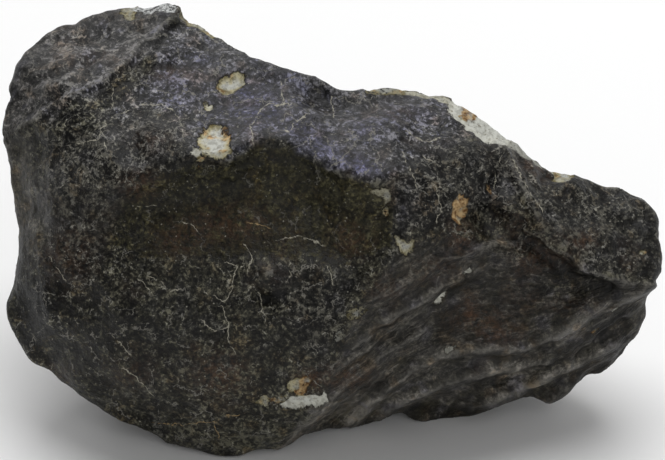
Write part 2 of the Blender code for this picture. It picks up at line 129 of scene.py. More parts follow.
# lines that the molten crust ran along on the flank, from the broad face's edge outwards
FLOW_LINES = [
    [(0, -13), (6, -9), (12, -5), (18, -1.5), (26, 0.5), (36, 1), (46, -2), (56, -5)],
    [(-4, -19), (0, -15.5), (6, -11.9), (13.2, -8.6), (18.2, -5.1), (25.2, -2.8), (32, -2.4), (38, -4.6),
     (44, -7.4), (56, -8)],
    [(-8, -27), (-2, -23.5), (3.3, -20), (7.3, -16.4), (12.4, -13.2), (18.6, -9.2), (25.2, -6), (31, -5.4),
     (38, -6.8), (44, -8.2), (56, -8.4)],
    [(-10, -32), (-4, -28.5), (1, -25), (6, -21), (11, -17), (16.5, -13.2), (22, -10.2), (29, -9), (36, -8.8),
     (44, -8.9), (56, -8.8)],
    [(-14, -38.5), (-12, -37.2), (-6.2, -32.7), (-0.3, -27.7), (5.1, -23.6), (10.5, -19.5), (16.3, -16.3),
     (22, -14), (29, -12.6), (36, -11), (44, -9.7), (56, -9.2)],
    [(-9, -39), (-4, -34.5), (2, -29.5), (8, -24.6), (13, -21), (18, -18.2), (25, -17), (32, -15.8),
     (38, -13.4), (44, -11), (50, -9.8), (56, -9.5)],
    [(-4, -39), (3, -32), (9, -26.5), (14, -22.6), (18.2, -20.6), (31.6, -19.8), (37.1, -17.5), (43.6, -13.8),
     (50.5, -10.6), (56, -9.8)],
    [(2, -38), (7, -32), (11.3, -28.5), (20.5, -24.8), (29.7, -23), (39.9, -20.2), (47.7, -15.2),
     (51.8, -11.6), (56, -10.6)],
    [(14, -37), (20, -31.5), (26, -28.8), (30.7, -27.2), (39.9, -22.5), (48.2, -18.4), (51.8, -14.2),
     (56, -12)],
    [(28, -37), (34, -31), (40, -27), (46, -23), (52, -18), (56, -15)],
]
FLOW_SPACING = 4.0  # usual distance between those lines
# crests where the flow piled up: (height, line)
FLOW_CRESTS = [
    (0.32, [(7, -11.4), (13.2, -8.6), (18.2, -5.1), (25.2, -2.8), (30, -2.4)]),
    (0.36, [(4, -19.2), (7.3, -16.4), (12.4, -13.2), (18.6, -9.2), (24, -6.6)]),
    (0.22, [(9, -14.8), (14, -12), (20, -8.2)]),
    (0.4, [(-4, -30.8), (-0.3, -27.7), (5.1, -23.6), (10.5, -19.5), (15, -17)]),
    (0.24, [(2, -22.4), (6, -19.4), (10, -16.6), (15, -13.8)]),
    (0.55, [(3, -32), (9, -26.5), (14, -22.6), (18.2, -20.5), (31.6, -19.8), (37.1, -17.5), (43.6, -13.8),
            (50.5, -10.6), (53, -9)]),
    (0.42, [(7, -32), (11.3, -28.5), (20.5, -24.8), (29.7, -23), (36, -21.5)]),
    (0.22, [(38, -19.4), (43, -16.6), (46, -14.8)]),
    (0.5, [(26, -28.8), (30.7, -27.2), (35, -24.8), (39.9, -22.5), (44, -20.6), (47, -18.8)]),
    (0.25, [(36, -28.6), (38, -27), (41, -24.6)]),
    (0.3, [(-9, -36.5), (-5, -33), (0, -29)]),
    (0.42, [(-52, 16.4), (-48, 19.6), (-43, 22.3), (-37.6, 25), (-35.1, 27.2), (-31.3, 31), (-26.9, 34.4)]),
    (0.36, [(-50, 22.4), (-48.3, 23.3), (-44.9, 24.8), (-41.6, 26.5), (-38.7, 27.7), (-35.8, 29.4),
            (-32.5, 31.8)]),
    (0.24, [(-45.6, 28), (-42.6, 29.2), (-39.6, 31.2), (-36.4, 34)]),
    (0.35, [(27.6, 14.4), (29.6, 11), (31.5, 7), (33.4, 3.4), (35, 0.2)]),
    (0.5, [(33, -0.4), (35, -1.8), (38.5, -3.8), (41.5, -6), (44.5, -7.4), (50, -8.4)]),
]
CREST_WIDTH, CREST_GAIN, TALLEST_CREST = 1.3, 1.45, 0.55
# where the surface is cut back under an edge: (depth, width, line)
UNDERCUTS = [
    (0.9, 1.4, [(31.5, 0.4), (34, -3.2), (38, -6), (41.6, -8.6), (46, -10)]),
    (0.3, 0.5, [(-26.2, 33.8), (-30.8, 30.5), (-34.5, 26.7), (-37, 24.4), (-42.8, 21.7), (-47.8, 19),
                (-51, 15.8)]),
    (0.2, 0.9, [(-16.5, 9.6), (-12.5, 12.4), (-7.5, 13), (-4.5, 10.8)]),
    (0.35, 1.2, [(24, -21.8), (31, -21), (36.5, -18.8)]),
    (0.5, 1.1, [(-14, -8.4), (-12.2, -10.6), (-10.6, -13)]),
]
HUMP_FLOW = math.radians(37)  # which way the crust ran on the hump, up to the right

# ---- chips: pale stone where the crust is knocked off ----

# (outline, rust: 0 white, 1 orange and -1 dark broken stone, how pale: 1 bare stone, less under a worn film)
CHIPS = [
    # large chip at the brow with its tail, and two above it
    ([(-22.5, 15.6), (-21.2, 17), (-19, 17.9), (-17.8, 17.5), (-17, 15.8), (-17.1, 14.3), (-16.8, 12.9),
      (-18.8, 11.4), (-20.1, 12.1), (-21.1, 12.6), (-21.8, 13.9), (-22.6, 14.6)], 0.3, 0.95),
    ([(-23.9, 13.1), (-23.2, 14), (-22, 13.7), (-21.8, 12.6), (-22.2, 11.9), (-23, 12.1)], 0.02, 0.85),
    ([(-23, 11.5), (-22, 12.1), (-21, 12.4), (-21.2, 11), (-22.2, 10.4)], 0.45, 0.7),
    ([(-18.5, 17.4), (-17.4, 17.3), (-17.1, 16.1), (-18.2, 15.9)], 0.95, 0.35),
    ([(-19.2, 24.2), (-18.5, 25.4), (-17.7, 25.8), (-17, 25.8), (-16.3, 26.6), (-15.4, 26.3), (-14.5, 25.4),
      (-14.2, 24.5), (-15.3, 23.7), (-16.3, 23.1), (-17.8, 22.6), (-18.7, 23.3)], 0.26, 0.8),
    ([(-21.5, 20.9), (-20.9, 21.5), (-20, 21.4), (-19.7, 20.8), (-20.4, 20.1), (-21.1, 20.2)], 0.1, 0.95),
    # low at the front, with rusty bits above it and beside it
    ([(-9, -29.3), (-7.7, -28.7), (-7.3, -28.1), (-6.4, -27.7), (-4.8, -27.6), (-2.9, -27.7), (-1.6, -27.8),
      (-1.3, -26.9), (-0.6, -28.3), (-1.5, -28.9), (-3.1, -29.4), (-4.8, -29.9), (-5.9, -29.9),
      (-7.1, -29.6)], 0, 0.95),
    ([(-7.7, -26.1), (-7.1, -25.4), (-6.2, -24.7), (-5.3, -24.7), (-5.5, -25.9), (-6.3, -27.2), (-7.3, -27)],
      0.25, 0.8),
    ([(-5.5, -24.6), (-4.4, -24.5), (-3.3, -25), (-4, -26.3), (-4.3, -27.4), (-5.4, -27.8), (-6.3, -27.4),
      (-5.7, -26.1)], 0.8, 0.6),
    ([(-12.6, -28.8), (-11.9, -27.8), (-11, -27.6), (-10.4, -28.6), (-10.6, -29.6), (-11.8, -29.7)], 0.26,
      0.62),
    ([(-10.6, -28.2), (-9.4, -27.7), (-8.1, -27.6), (-8, -28.7), (-9.4, -29.1)], 0.65, 0.45),
    ([(-8.2, -27.4), (-7.7, -26.6), (-7, -27.1), (-7.2, -28.4), (-8.1, -28.5)], 0.05, 0.55),
    # on the shoulder
    ([(20.2, 1.8), (20.4, 4.6), (21.3, 6.1), (22.5, 5.2), (22.6, 2.8), (21.4, 1.1)], 0.72, 0.8),
    ([(25.4, 6.4), (25.9, 7.6), (26.5, 6.6), (26.2, 5.9)], 0.8, 0.5),
    # where the broad face, the shoulder and the flank meet
    ([(10.5, -0.8), (11.4, -1.3), (12.6, -1.9), (14, -1.4), (13.6, -3), (12.6, -4.4), (11.3, -3.8)], 0.12,
      0.7),
    ([(6.6, 6.3), (8, 6.9), (9.7, 6.8), (9.7, 5), (8.9, 4.3), (8.4, 5.4), (7.2, 5.6)], 0.08, 0.62),
    ([(7.2, 3.8), (9.6, 3.7), (9.3, 3), (8.8, 2.1), (8.2, 2.9)], 0.5, 0.55),
    ([(2.4, -13.4), (4.4, -12.5), (5.9, -13.2), (4.6, -15), (2.6, -15.2)], 0.2, 0.4),
    ([(-0.2, -16.4), (1.8, -15.4), (2.6, -17.2), (1, -19.2), (-0.4, -18.4)], 0.05, 0.32),
    # specks on the flank
    ([(21.4, -7.4), (22.4, -6.6), (23.2, -5.9), (23.4, -6.4), (22.4, -7.4)], 0, 0.75),
    ([(17.2, -12.4), (17.6, -11.6), (18.6, -10.8), (19.4, -10.2), (19, -11.4), (18, -12.6)], 0, 0.95),
    ([(16.9, -12), (17.2, -11.5), (17, -12.3)], 0.95, 0.4),
    ([(18.4, -20), (19.4, -19.4), (20.6, -19.4), (20.4, -20), (19.2, -20.3)], 0, 0.6),
    ([(46.2, -13.3), (47.4, -12.6), (47.7, -12.9), (46.8, -13.6)], 0, 0.6),
    ([(43.2, -17.4), (44.4, -16.3), (44.7, -16.7), (43.7, -17.8)], 0.6, 0.35),
    ([(44.9, -2.9), (45.5, -2.4), (45.7, -2.9), (45.2, -3.2)], 0, 0.8),
    ([(51, -3.9), (52, -3.2), (52.6, -3.6), (51.8, -4.1)], 0.4, 0.55),
]
# chips along the back edge of the top, which run over the edge
EDGE_CHIPS = [
    ([(-35.4, 36.2), (-32.6, 40), (-31.2, 40), (-31.8, 37.2), (-33.4, 34.9)], 0.16, 0.65),
    ([(-33, 36.8), (-31.6, 41), (-25.6, 41), (-25.8, 36.2), (-28.2, 36.6), (-30.6, 36)], -1, 1),
    ([(-25.6, 36), (-24.6, 38), (-22.6, 36), (-22.8, 34.4), (-24.2, 34.6)], 0.1, 0.5),
    ([(-24.6, 34.6), (-22, 36), (-18, 33.6), (-19.2, 31.6), (-21.6, 33.2)], 0.42, 0.75),
    ([(5.4, 22.6), (6.4, 25.6), (12.6, 25.4), (12.4, 22.8), (8.4, 22.4)], 0.22, 0.55),
    ([(12.2, 22.8), (13, 25.6), (19.6, 24.6), (20.2, 20.9), (16.6, 22)], 0.05, 0.8),
    ([(19.2, 20), (20, 25), (26, 21), (31.4, 16.4), (29.4, 14.2), (27.4, 14.1), (25, 15.2), (22.7, 16.8)], 0,
      1),
    ([(21.4, 19.2), (22, 21.4), (24.6, 19.8), (23.6, 18)], 0.62, 0.7),
    ([(29.4, 13.9), (30.6, 17), (36.8, 12), (37.2, 9.2), (34.6, 10.5), (31.6, 12.5)], 0, 0.62),
    ([(36.8, 8.2), (37.2, 11), (40.2, 11), (40.2, 8.8), (38.6, 7.9)], 0.2, 0.75),
]

# ---- cracks filled with pale salt, as lines on the drawing ----

CRACKS = [
    # level top
    [(-42.1, 14.6), (-38.7, 15), (-38.8, 16.4), (-36.5, 19), (-33.7, 20.2), (-31.7, 21.2), (-28.3, 20.7),
     (-26, 19.5), (-25, 17.2), (-24.8, 15.8)],
    [(-38, 15.8), (-37.8, 14.3)],
    [(-36.5, 22.8), (-36.6, 20.7)],
    [(-7.7, 21), (-9.2, 20.7), (-10, 21.5), (-11.4, 20.5), (-12.3, 19.4), (-13.5, 17.4), (-13.3, 15.3)],
    [(-4.9, 18.7), (-6.5, 17.8), (-6.7, 16.6), (-7.5, 16.6)],
    [(-8.4, 23.7), (-8.1, 21.2)],
    [(-0.2, 22.2), (0.2, 19.6)],
    [(11.9, 12.9), (13.8, 8)],
    # shoulder
    [(30.4, 10.8), (33.2, 5.6), (34.7, 3.8)],
    [(28, 11.7), (27.4, 10.5), (27.3, 8)],
    [(15.6, 12.4), (17.8, 10.8), (19.6, 10.6)],
    [(13.2, 16), (15.4, 14.8), (17.8, 15.2)],
    [(17.2, 6.8), (18.2, 4.4), (17.8, 2.2)],
    # lower half of the broad face
    [(-16.9, -5.7), (-15.6, -6), (-16.5, -8), (-16.5, -9.5), (-17.2, -11.3), (-18.3, -12.3), (-19.2, -11.1),
     (-20.7, -10.7)],
    [(-18.3, -12.8), (-17.8, -14.3), (-17.2, -15.7), (-17.4, -17.2), (-17.2, -18.7), (-16.5, -19.7)],
    [(-21, -15.6), (-19.7, -16.8), (-17.7, -16.4)],
    [(-14.1, -3.2), (-13.3, -4.4), (-13.7, -6.2)],
    [(-12, -11.6), (-11.5, -13.2), (-11.3, -14.4)],
    [(-7, -6.2), (-7.1, -8)],
    [(-0.5, -7), (0.3, -9)],
    [(-8.3, -1.5), (-5.2, -1), (-2.4, -2.1)],
    [(-36, -18.3), (-34.3, -20.2)],
    [(-34.1, -23.6), (-32.4, -24.7), (-30.5, -26.9)],
    [(-31.6, -8.9), (-30.8, -9.6)],
    [(-29.6, -8.1), (-28.3, -8.7), (-27.3, -10.2), (-25, -9.6)],
    [(-46.7, -5.3), (-44.6, -8.1)],
    [(-33.2, 3.9), (-30.3, 4)],
    [(-25.2, 1.2), (-23.4, 0.9), (-22.6, 0)],
]
# cracks stained yellow
STAINED_CRACKS = [
    [(-28.8, -32.2), (-24.4, -32.5), (-22.2, -32), (-19.7, -32), (-18.3, -31.3), (-15.2, -30.7)],
    [(-19.7, -32.1), (-19.1, -34.1)],
    [(-13, 1), (-11.4, 0.7)],
]

# ---- rust and other stains: (across, up, half width, half height, strength) ----

RUST = [
    (-32, 7.5, 3, 2.2, 0.9), (-17, 1, 7.5, 3, 0.8), (-25.6, -1.6, 3.5, 2.6, 0.7), (3.4, -1.4, 3.4, 3, 0.8),
    (-18.6, -24.2, 4.4, 3.6, 0.9), (24.6, -15, 5, 2, 0.7), (28, -17.4, 4, 1.6, 0.7),
    (-3.6, -25, 2.6, 1.8, 1.2), (34.6, 10.8, 3.6, 2.4, 0.7), (42.2, -1.6, 2.4, 1.4, 0.8),
    (-44.6, 29.6, 2, 2, 0.5), (-30, 15, 3.4, 1.6, 0.5), (21.5, -1, 2, 2.6, 1), (-13.8, 16, 1.2, 2, 0.4),
    (17, -6.5, 4, 2, 0.5), (3, -24, 4, 2, 0.6), (-38, 28.6, 4, 1.2, 0.5), (23, -12.6, 1.4, 2.4, 0.7),
    (9, -9.6, 3, 2, 0.5), (34, -5, 4, 2, 0.5), (40, -12.5, 5, 1.2, 0.5), (-46, -24, 3, 2, 0.4),
    (-26, 26, 4, 1.2, 0.6), (10.5, 19.6, 3, 1.4, 0.4), (30, 1, 3, 2.4, 0.3), (-43.5, -4, 4, 5, 0.5),
    (-33, -24, 4, 3, 0.4),
]

# darker and lighter stretches of crust, partly its own tone and partly painted shade and painted light, such
# as painted shadow under edges and above chips and painted light on the underside: (across, up, half width,
# half height, change)
SHADE_AND_TONE_MARKS = [
    (-50, -14, 6, 9, -0.7), (-37, -19, 11, 7, -0.62), (-29, 17.5, 5, 3.4, -0.1), (-36, 9, 4, 4, -0.52),
    (-49, -10, 3, 4, -0.5), (-31.5, 19.5, 7, 4.5, -0.56), (-26, -2.5, 6, 3.6, -0.35), (-41, 17, 7, 4, -0.35),
    (-12, -9, 14, 6, -0.38), (-4, -26, 4, 3, -0.35), (-2, -18, 4, 6, 0.06), (16, 15, 3.6, 3.4, -0.9),
    (12, 10.5, 3, 3, -0.85), (1.3, -6.3, 4, 2.6, -0.45), (23, 12.6, 4, 2.6, -0.4), (18, 0, 3.4, 5, -0.6),
    (32, 8.8, 4.6, 2.4, -0.8), (38, 9, 6, 2, -0.5), (52, 2, 2.6, 5, -0.3), (52.5, -5, 2, 4, -0.4),
    (-24.5, 15.8, 2.4, 2.4, -0.65), (-48.7, -13, 3, 4, -0.4), (48, 6, 4, 1.6, -0.3), (22.5, 10, 6, 5, -0.4),
    (-50, -12, 4, 3, -0.35), (-25.5, 17, 2.6, 1.6, -0.4), (46.5, -17, 2.6, 1.4, -0.75),
    (27, -13, 12, 5, -0.25), (37, -6.6, 4, 2.2, -0.85), (46, -12, 3, 3, -0.3), (21, -3, 5, 3, -0.35),
    (-8, -16, 6, 4, -0.15), (-1.8, 21, 1.8, 1.6, -0.6), (-19.5, 18.4, 2.4, 0.9, -0.6),
    (26.8, -25.4, 3.2, 0.9, -0.7), (45.6, -18.2, 2.6, 1.4, -0.6), (-50, 21, 5, 5, 0.35),
    (-42, 31, 6, 4, 0.12), (-35, 27, 5, 2.4, 0.4), (-31, 31, 3, 3, 0.35), (-44, 22.5, 4, 2, 0.2),
    (-53.5, 14, 2.6, 5, 0.5), (-12, -35, 10, 2.6, 1), (3, -31, 7, 2.4, 1.1), (-24, -33.5, 10, 2.4, 0.3),
    (29, -23, 6, 1.8, 0.35), (34, -25.2, 3.4, 1.8, 0.75), (42, -21.4, 3.2, 1.4, 0.6), (41, -1.2, 6, 2.8, 0.5),
    (27, 4, 3, 2.6, 0.5), (7, 7, 5, 3.6, 0.45), (-2, 11.6, 5, 2.4, 0.45), (-3.5, 24, 2.8, 2, 1.1),
    (-12, 9, 5, 3, 0.2), (-50.5, 3, 3.6, 9, 0.38), (-30, -26, 4, 3, 0.2), (-2, 6, 7, 4, 0.4),
    (-17, 4, 9, 5, -0.2), (6, 2, 5, 5, 0.45), (-38.7, 10.4, 3, 2.4, 0.6), (33, 0.6, 4, 3, 0.25),
    (39.5, -3.6, 4.5, 1.6, 0.45), (40.5, -12, 3.6, 3, 0.5), (-15, 25.4, 12, 2, 0.2),
    (-53.8, -13, 1.6, 4, 1.2), (15.5, -13.4, 4, 3, 0.22), (14, -28.6, 12, 1.8, 0.8), (10, -22, 8, 4, 0.2),
    (-48.6, -1, 1.8, 3, 0.45), (-48.3, -12, 4, 5, -1.2), (44, 3, 7, 5, -0.2), (14, 6, 5, 6, -0.16),
    (-40, -15, 7, 6, -0.2), (31.3, -25.2, 3.4, 1.5, 1.1), (27, -21.6, 4, 1.4, 0.6),
    (34.6, -18.4, 3, 1.4, -0.5), (6.4, -25.9, 3.2, 0.8, -0.9), (7.5, -28, 4, 0.9, 0.45),
    (14.8, -29.8, 2.6, 1, -0.8), (44.8, -19.6, 3.6, 0.9, 0.2), (41.8, -21.6, 1, 0.8, -0.7),
    (2.6, -23, 2.6, 1, -0.45), (-9.4, -6.7, 2.8, 1.5, 0.85), (-10.5, -12, 1.3, 1.2, -0.72),
    (-2.7, -14.1, 3.8, 1.9, 0.9), (-5.4, -15.8, 1.6, 1, -0.6), (-44, 24, 3, 0.9, 0.25),
    (-39, 24.9, 3, 0.9, 0.25),
]
# where the crust is violet
VIOLET = [
    (-26, 24, 4.5, 6, 0.5), (-13, 21, 6, 4.6, 0.9), (-5, 16.8, 3.4, 2, 0.9), (-1.6, 13.8, 3, 2, 0.9),
    (2.6, 11.2, 3.4, 1.8, 0.9), (6.4, 9.8, 2.6, 1.4, 0.7), (5.6, 17, 3.2, 2.2, 0.7), (14, 19, 5, 2.6, 0.4),
    (12, 5, 3.6, 4, 0.5), (-29.4, 13.6, 1.6, 3, 0.5), (27, 6, 4, 4, 0.4), (-9.2, -6.8, 2.8, 1.4, 0.6),
    (-5.4, -15.8, 1.6, 1, 0.5), (-34.5, 15.5, 3, 2.4, 0.5),
]
# where the crust is lively, with curling pale lines over black: amount of it
LIVELY = [
    (-31, 18, 9, 8, 1), (-41, 31, 6, 4, 0.8), (-43, 20, 8, 4, 0.6), (-45, 12, 4, 7, 0.7),
    (-27, 31, 5, 4, 0.6), (27, 9, 8, 7, 0.7), (44, 4, 9, 8, 0.45), (15, 8, 5, 9, 0.8), (-17, -12, 9, 7, 0.2),
    (-3, -13, 7, 6, 0.4), (-38, -5, 6, 7, 0.6), (-34, -17, 7, 5, 0.15), (17, 16, 8, 3, 0.5),
    (40, -8.4, 6.5, 3.2, 0.45), (33, -3.6, 4, 2.6, 0.7), (-48, -14, 5, 7, 0.5), (-42, 26, 8, 6, 0.3),
    (-38.5, 10, 6, 4, 0.6),
]

# pits in the smooth crust: (across, up, radius, depth)
PITS = [
    (-41.6, 30.8, 1.3, 0.5), (-38.2, 32.2, 1.5, 0.55), (-44.4, 28, 1, 0.4), (-40.6, 27.6, 1.2, 0.45),
    (-35.8, 29.4, 0.9, 0.35), (-46.2, 31.6, 0.9, 0.3), (-37.4, 35, 0.9, 0.35), (-48.6, 25.2, 1.1, 0.4),
    (-43.2, 24.6, 0.8, 0.3), (-33.4, 33.4, 1, 0.35), (-46.4, 22.6, 0.9, 0.35), (-50.4, 20.4, 0.9, 0.3),
    (19.4, -5.9, 0.7, 0.45), (15.9, -8.7, 0.8, 0.5), (13, -16.6, 1, 0.45), (41.3, -20.3, 1.8, 0.35),
    (45.4, -18.2, 2, 0.4), (48.2, -15.8, 1.1, 0.5), (8, -26.6, 1.1, 0.5), (27, -6.2, 0.8, 0.4),
    (40.4, -9.8, 0.9, 0.4), (-11.2, -11.6, 1.6, 0.6), (21, 2, 1.2, 0.6), (24.4, 4.6, 0.9, 0.45),
    (50.4, 1.6, 1, 0.5), (35.2, 8.2, 0.9, 0.4), (-9, -8.8, 1.2, 0.4), (-28.6, 31, 1, 0.35),
    (17.6, -17.4, 0.9, 0.35),
]

# ---- colours; where there are two, the darkest and the lightest ----

CRUST = (0.0135, 0.0128, 0.009), (0.0215, 0.0205, 0.0148)
HOLLOW_CRUST = (0.0145, 0.0132, 0.0065)
SPECKLED_CRUST = (0.0138, 0.0131, 0.0106)
# the level top's bluish crust, lighter partly as painted sheen
TOP_CRUST_AND_SHEEN = (0.029, 0.0285, 0.0303)
FLOW_CRUST = (0.013, 0.0118, 0.0082), (0.033, 0.0305, 0.0262)
# lighter crust on the crests, partly its own colour and partly painted highlight, and a painted highlight
# line along them
CREST_CRUST_AND_HIGHLIGHT, CREST_HIGHLIGHT = (0.056, 0.053, 0.048), (0.105, 0.1, 0.088)
VIOLET_TINT, COOL_TINT, WARM_TINT = (0.97, 0.97, 1.42), (0.94, 0.96, 1.14), (1.13, 0.98, 0.82)
RUST_STAIN = (0.034, 0.018, 0.01), (0.085, 0.042, 0.02)
LINE_TINT = (1.3, 1.3, 1.25)
LINE_LIGHT = (0.045, 0.044, 0.04), (0.15, 0.146, 0.13)
PLATE_LINE = (0.1, 0.095, 0.085), (0.22, 0.21, 0.18)
PALE_GRAIN = (0.26, 0.25, 0.21)
SALT = (0.14, 0.13, 0.1), (0.4, 0.38, 0.31)
STAINED_SALT = (0.24, 0.17, 0.085)
WHITE_STONE = (0.33, 0.33, 0.295), (0.5, 0.505, 0.46)
YELLOW_STONE = (0.16, 0.135, 0.06), (0.42, 0.385, 0.25)
RUSTY_STONE = (0.15, 0.07, 0.022), (0.6, 0.42, 0.21)
BROKEN_STONE = (0.035, 0.035, 0.035), (0.48, 0.49, 0.48)
STONE_SPECK, CHIP_RIM = (0.13, 0.11, 0.07), (0.018, 0.011, 0.004)
IOR = 1.27
GRAIN_GLOSS, CHIP_GLOSS = (0.42, 0.6), 0.85  # roughness

# ---- noises in the crust: (size, detail, roughness) ----

GRAIN, COARSE, BROAD, HUE = (0.62, 2.0, 0.75), (2.0, 3.0, 0.6), (6.0, 2.0, 0.5), (3.4, 2.0, 0.5)
STREAK, FINE_STREAK, THREAD, BAND = (1.5, 3.0, 0.65), (0.55, 2.0, 0.6), (1.0, 1.5, 0.5), (3.6, 1.5, 0.5)
CURL, CURL_PATCH, STAIN_PATCH = (1.5, 1.5, 0.5), (2.3, 2.0, 0.6), (1.1, 4.0, 0.7)
SALT_WANDER, SALT_GAP = (1.3, 3.0, 0.6), (1.1, 2.0, 0.5)
STONE_EDGE, STONE_GRAIN, STONE_PATCH = (0.8, 3.0, 0.65), (0.8, 3.0, 0.6), (1.5, 2.0, 0.5)
GRIT_SIZE = 0.5
# networks of cracks: (cell size, line width, wobble)
PLATES, SMALL_PLATES, STROKES = (4.4, 0.18, 2.2), (2.2, 0.16, 1.5), (1.2, 0.16, 1.0)
BRIGHTEST_GRAIN = 6.0

# ---- the studio, in metres and watts ----

# (name, place, what it looks at, size, power)
LIGHTS = [
    ("overhead", (0.05, 0.2, 0.95), (0, 0, 0.03), 0.9, 7.5),
    ("behind", (-0.15, 1.0, 0.6), (0, 0, 0.04), 0.9, 2.6),
    ("fill", (0.35, -0.85, 0.75), (0, 0, 0.03), 0.8, 1.6),
    ("low", (0.05, -0.75, 0.09), (0, 0, 0.01), 0.6, 1.0),
]
SKY_STRENGTH = 0.27
SENSOR = 36.0  # width of the camera's sensor, in millimetres
PIXELS_WIDE, PIXELS_PER_UNIT = 665.0, 6.0  # of the finished picture, and of one drawn millimetre in it
MIDDLE_OFF = 0.5  # from the middle of that picture to the middle of the drawing, in pixels
FLOOR_REACH = 3.0
FLOOR_COLOUR, FLOOR_ROUGHNESS = (0.9, 0.9, 0.9, 1.0), 0.9
WHITE = (1.0, 1.0, 1.0, 1.0)


def read(items, name, width=1, kind=np.float32):
    """One property of every point, edge, face or corner of a mesh, with a row for each."""
    values = np.empty(len(items) * width, kind)
    items.foreach_get(name, values)
    return values.reshape(-1, width) if width > 1 else values


def set_points(mesh, points):
    mesh.vertices.foreach_set("co", points.astype(np.float32).ravel())
    mesh.update()


def placed(name, data):
    """A new object in the scene."""
    thing = bpy.data.objects.new(name, data)
    bpy.context.scene.collection.objects.link(thing)
    return thing


def faded(value, start, end):
    """0 at start, 1 at end, and smooth between."""
    share = np.clip((value - start) / (end - start), 0.0, 1.0)
    return share * share * (3.0 - 2.0 * share)


def rough(points, size, seed=0.0):
    """Smooth noise from about -1 to 1, with lumps of that size."""
    shift = Vector((seed * 17.3, seed * -9.1, seed * 5.7))
    return np.array([noise.noise(Vector(point) / size + shift) for point in points])


def layered(points, layers):
    """The sum of layers of smooth noise."""
    return sum(amount * rough(points, size, seed) for size, seed, amount in layers)


def drawn(points):
    """Points of the stone in metres as (across, up, out) in drawn millimetres."""
    x, y, z = ((points - MIDDLE) / UNIT).T
    up = y * math.sin(LEAN) + z * math.cos(LEAN)
    out = z * math.sin(LEAN) - y * math.cos(LEAN)
    return np.stack([x, up, out], 1)


def mound(across, up, x, y, half_width, half_height):
    """1 at one place on the drawing, fading to 0 round it."""
    return np.exp(-((across - x) / half_width) ** 2 - ((up - y) / half_height) ** 2)


def along_hump(across, up):
    """A place on the drawing as counted along the hump's flow and across it."""
    along = across * math.cos(HUMP_FLOW) + up * math.sin(HUMP_FLOW)
    aside = up * math.cos(HUMP_FLOW) - across * math.sin(HUMP_FLOW)
    return along, aside


def segment_distances(spots, start, end):
    """Distance to a segment, side of its line (+ on the left) and share of the way along it, not clipped."""
    start, end = np.array(start, float), np.array(end, float)
    along = end - start
    offset = spots - start
    share = offset @ along / (along @ along)
    away = offset - np.clip(share, 0.0, 1.0)[:, None] * along
    side = (along[0] * offset[:, 1] - along[1] * offset[:, 0]) / math.hypot(*along)
    return np.hypot(away[:, 0], away[:, 1]), side, share


def outline_distance(spots, outline):
    """Distance to a closed outline, negative inside it."""
    nearest = np.full(len(spots), np.inf)
    inside = np.zeros(len(spots), bool)
    for start, end in zip(outline, outline[1:] + outline[:1]):
        nearest = np.minimum(nearest, segment_distances(spots, start, end)[0])
        spans = (start[1] > spots[:, 1]) != (end[1] > spots[:, 1])
        rise = end[1] - start[1]
        if rise:
            crossing = start[0] + (spots[:, 1] - start[1]) * (end[0] - start[0]) / rise
            inside ^= spans & (spots[:, 0] < crossing)
    return np.where(inside, -nearest, nearest)


def line_distance(spots, line):
    """Signed distance to a line (+ on its left), and unsigned distance that counts its ends."""
    nearest = np.full(len(spots), np.inf)
    signed = np.zeros(len(spots))
    for start, end in zip(line, line[1:]):
        away, side, _ = segment_distances(spots, start, end)
        closer = away < nearest
        nearest = np.where(closer, away, nearest)
        signed = np.where(closer, side, signed)
    return signed, nearest


def flow_across(spots):
    """A measure that grows across the flow lines of the flank, and how far apart those lines are."""
    sides = []
    for line in FLOW_LINES:
        signed, nearest = line_distance(spots, line)
        sides.append(np.where(signed > 0, nearest, -nearest))
    total, apart = np.zeros(len(spots)), np.full(len(spots), FLOW_SPACING)
    for near, far in zip(sides, sides[1:]):
        width = np.maximum(far - near, 1e-3)
        total += np.clip(-near / width, 0.0, 1.0)
        apart = np.where((near < 0) & (far > 0), width, apart)
    beyond = np.maximum(-sides[-1], 0.0) / FLOW_SPACING
    before = np.minimum(-sides[0], 0.0) / FLOW_SPACING
    return FLOW_SPACING * (total + beyond + before), apart


def fine_mesh(node):
    """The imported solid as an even, smooth mesh that is fine enough to work on."""
    mesh = node.data.copy()
    shape = bmesh.new()
    shape.from_mesh(mesh)
    bmesh.ops.remove_doubles(shape, verts=shape.verts[:], dist=1e-6)
    shape.to_mesh(mesh)
    shape.free()
    draft = placed("draft", mesh)
    remesh = draft.modifiers.new("remesh", "REMESH")
    remesh.mode, remesh.voxel_size = "VOXEL", VOXEL
    smooth = draft.modifiers.new("smooth", "SMOOTH")
    smooth.factor, smooth.iterations = SMOOTH_SHARE, SMOOTH_ROUNDS
    bpy.context.view_layer.update()
    fine = bpy.data.meshes.new_from_object(draft.evaluated_get(bpy.context.evaluated_depsgraph_get()))
    bpy.data.objects.remove(draft)
    return fine


def even_out(mesh):
    """Evens out the surface where EVENED says."""
    points = read(mesh.vertices, "co", 3).astype(float)
    across, up, _ = drawn(points).T
    amount = mound(across, up, *EVENED)
    ends = read(mesh.edges, "vertices", 2, np.int32)
    ends = ends[amount[ends].max(1) > 0.01]
    near, far = np.concatenate([ends, ends[:, ::-1]]).T
    count = np.maximum(np.bincount(near, minlength=len(points)), 1)
    for _ in range(EVEN_ROUNDS):
        for axis in range(3):
            around = np.bincount(near, points[far, axis], minlength=len(points)) / count
            points[:, axis] += EVEN_SHARE * amount * np.where(around != 0.0, around - points[:, axis], 0.0)
    set_points(mesh, points)


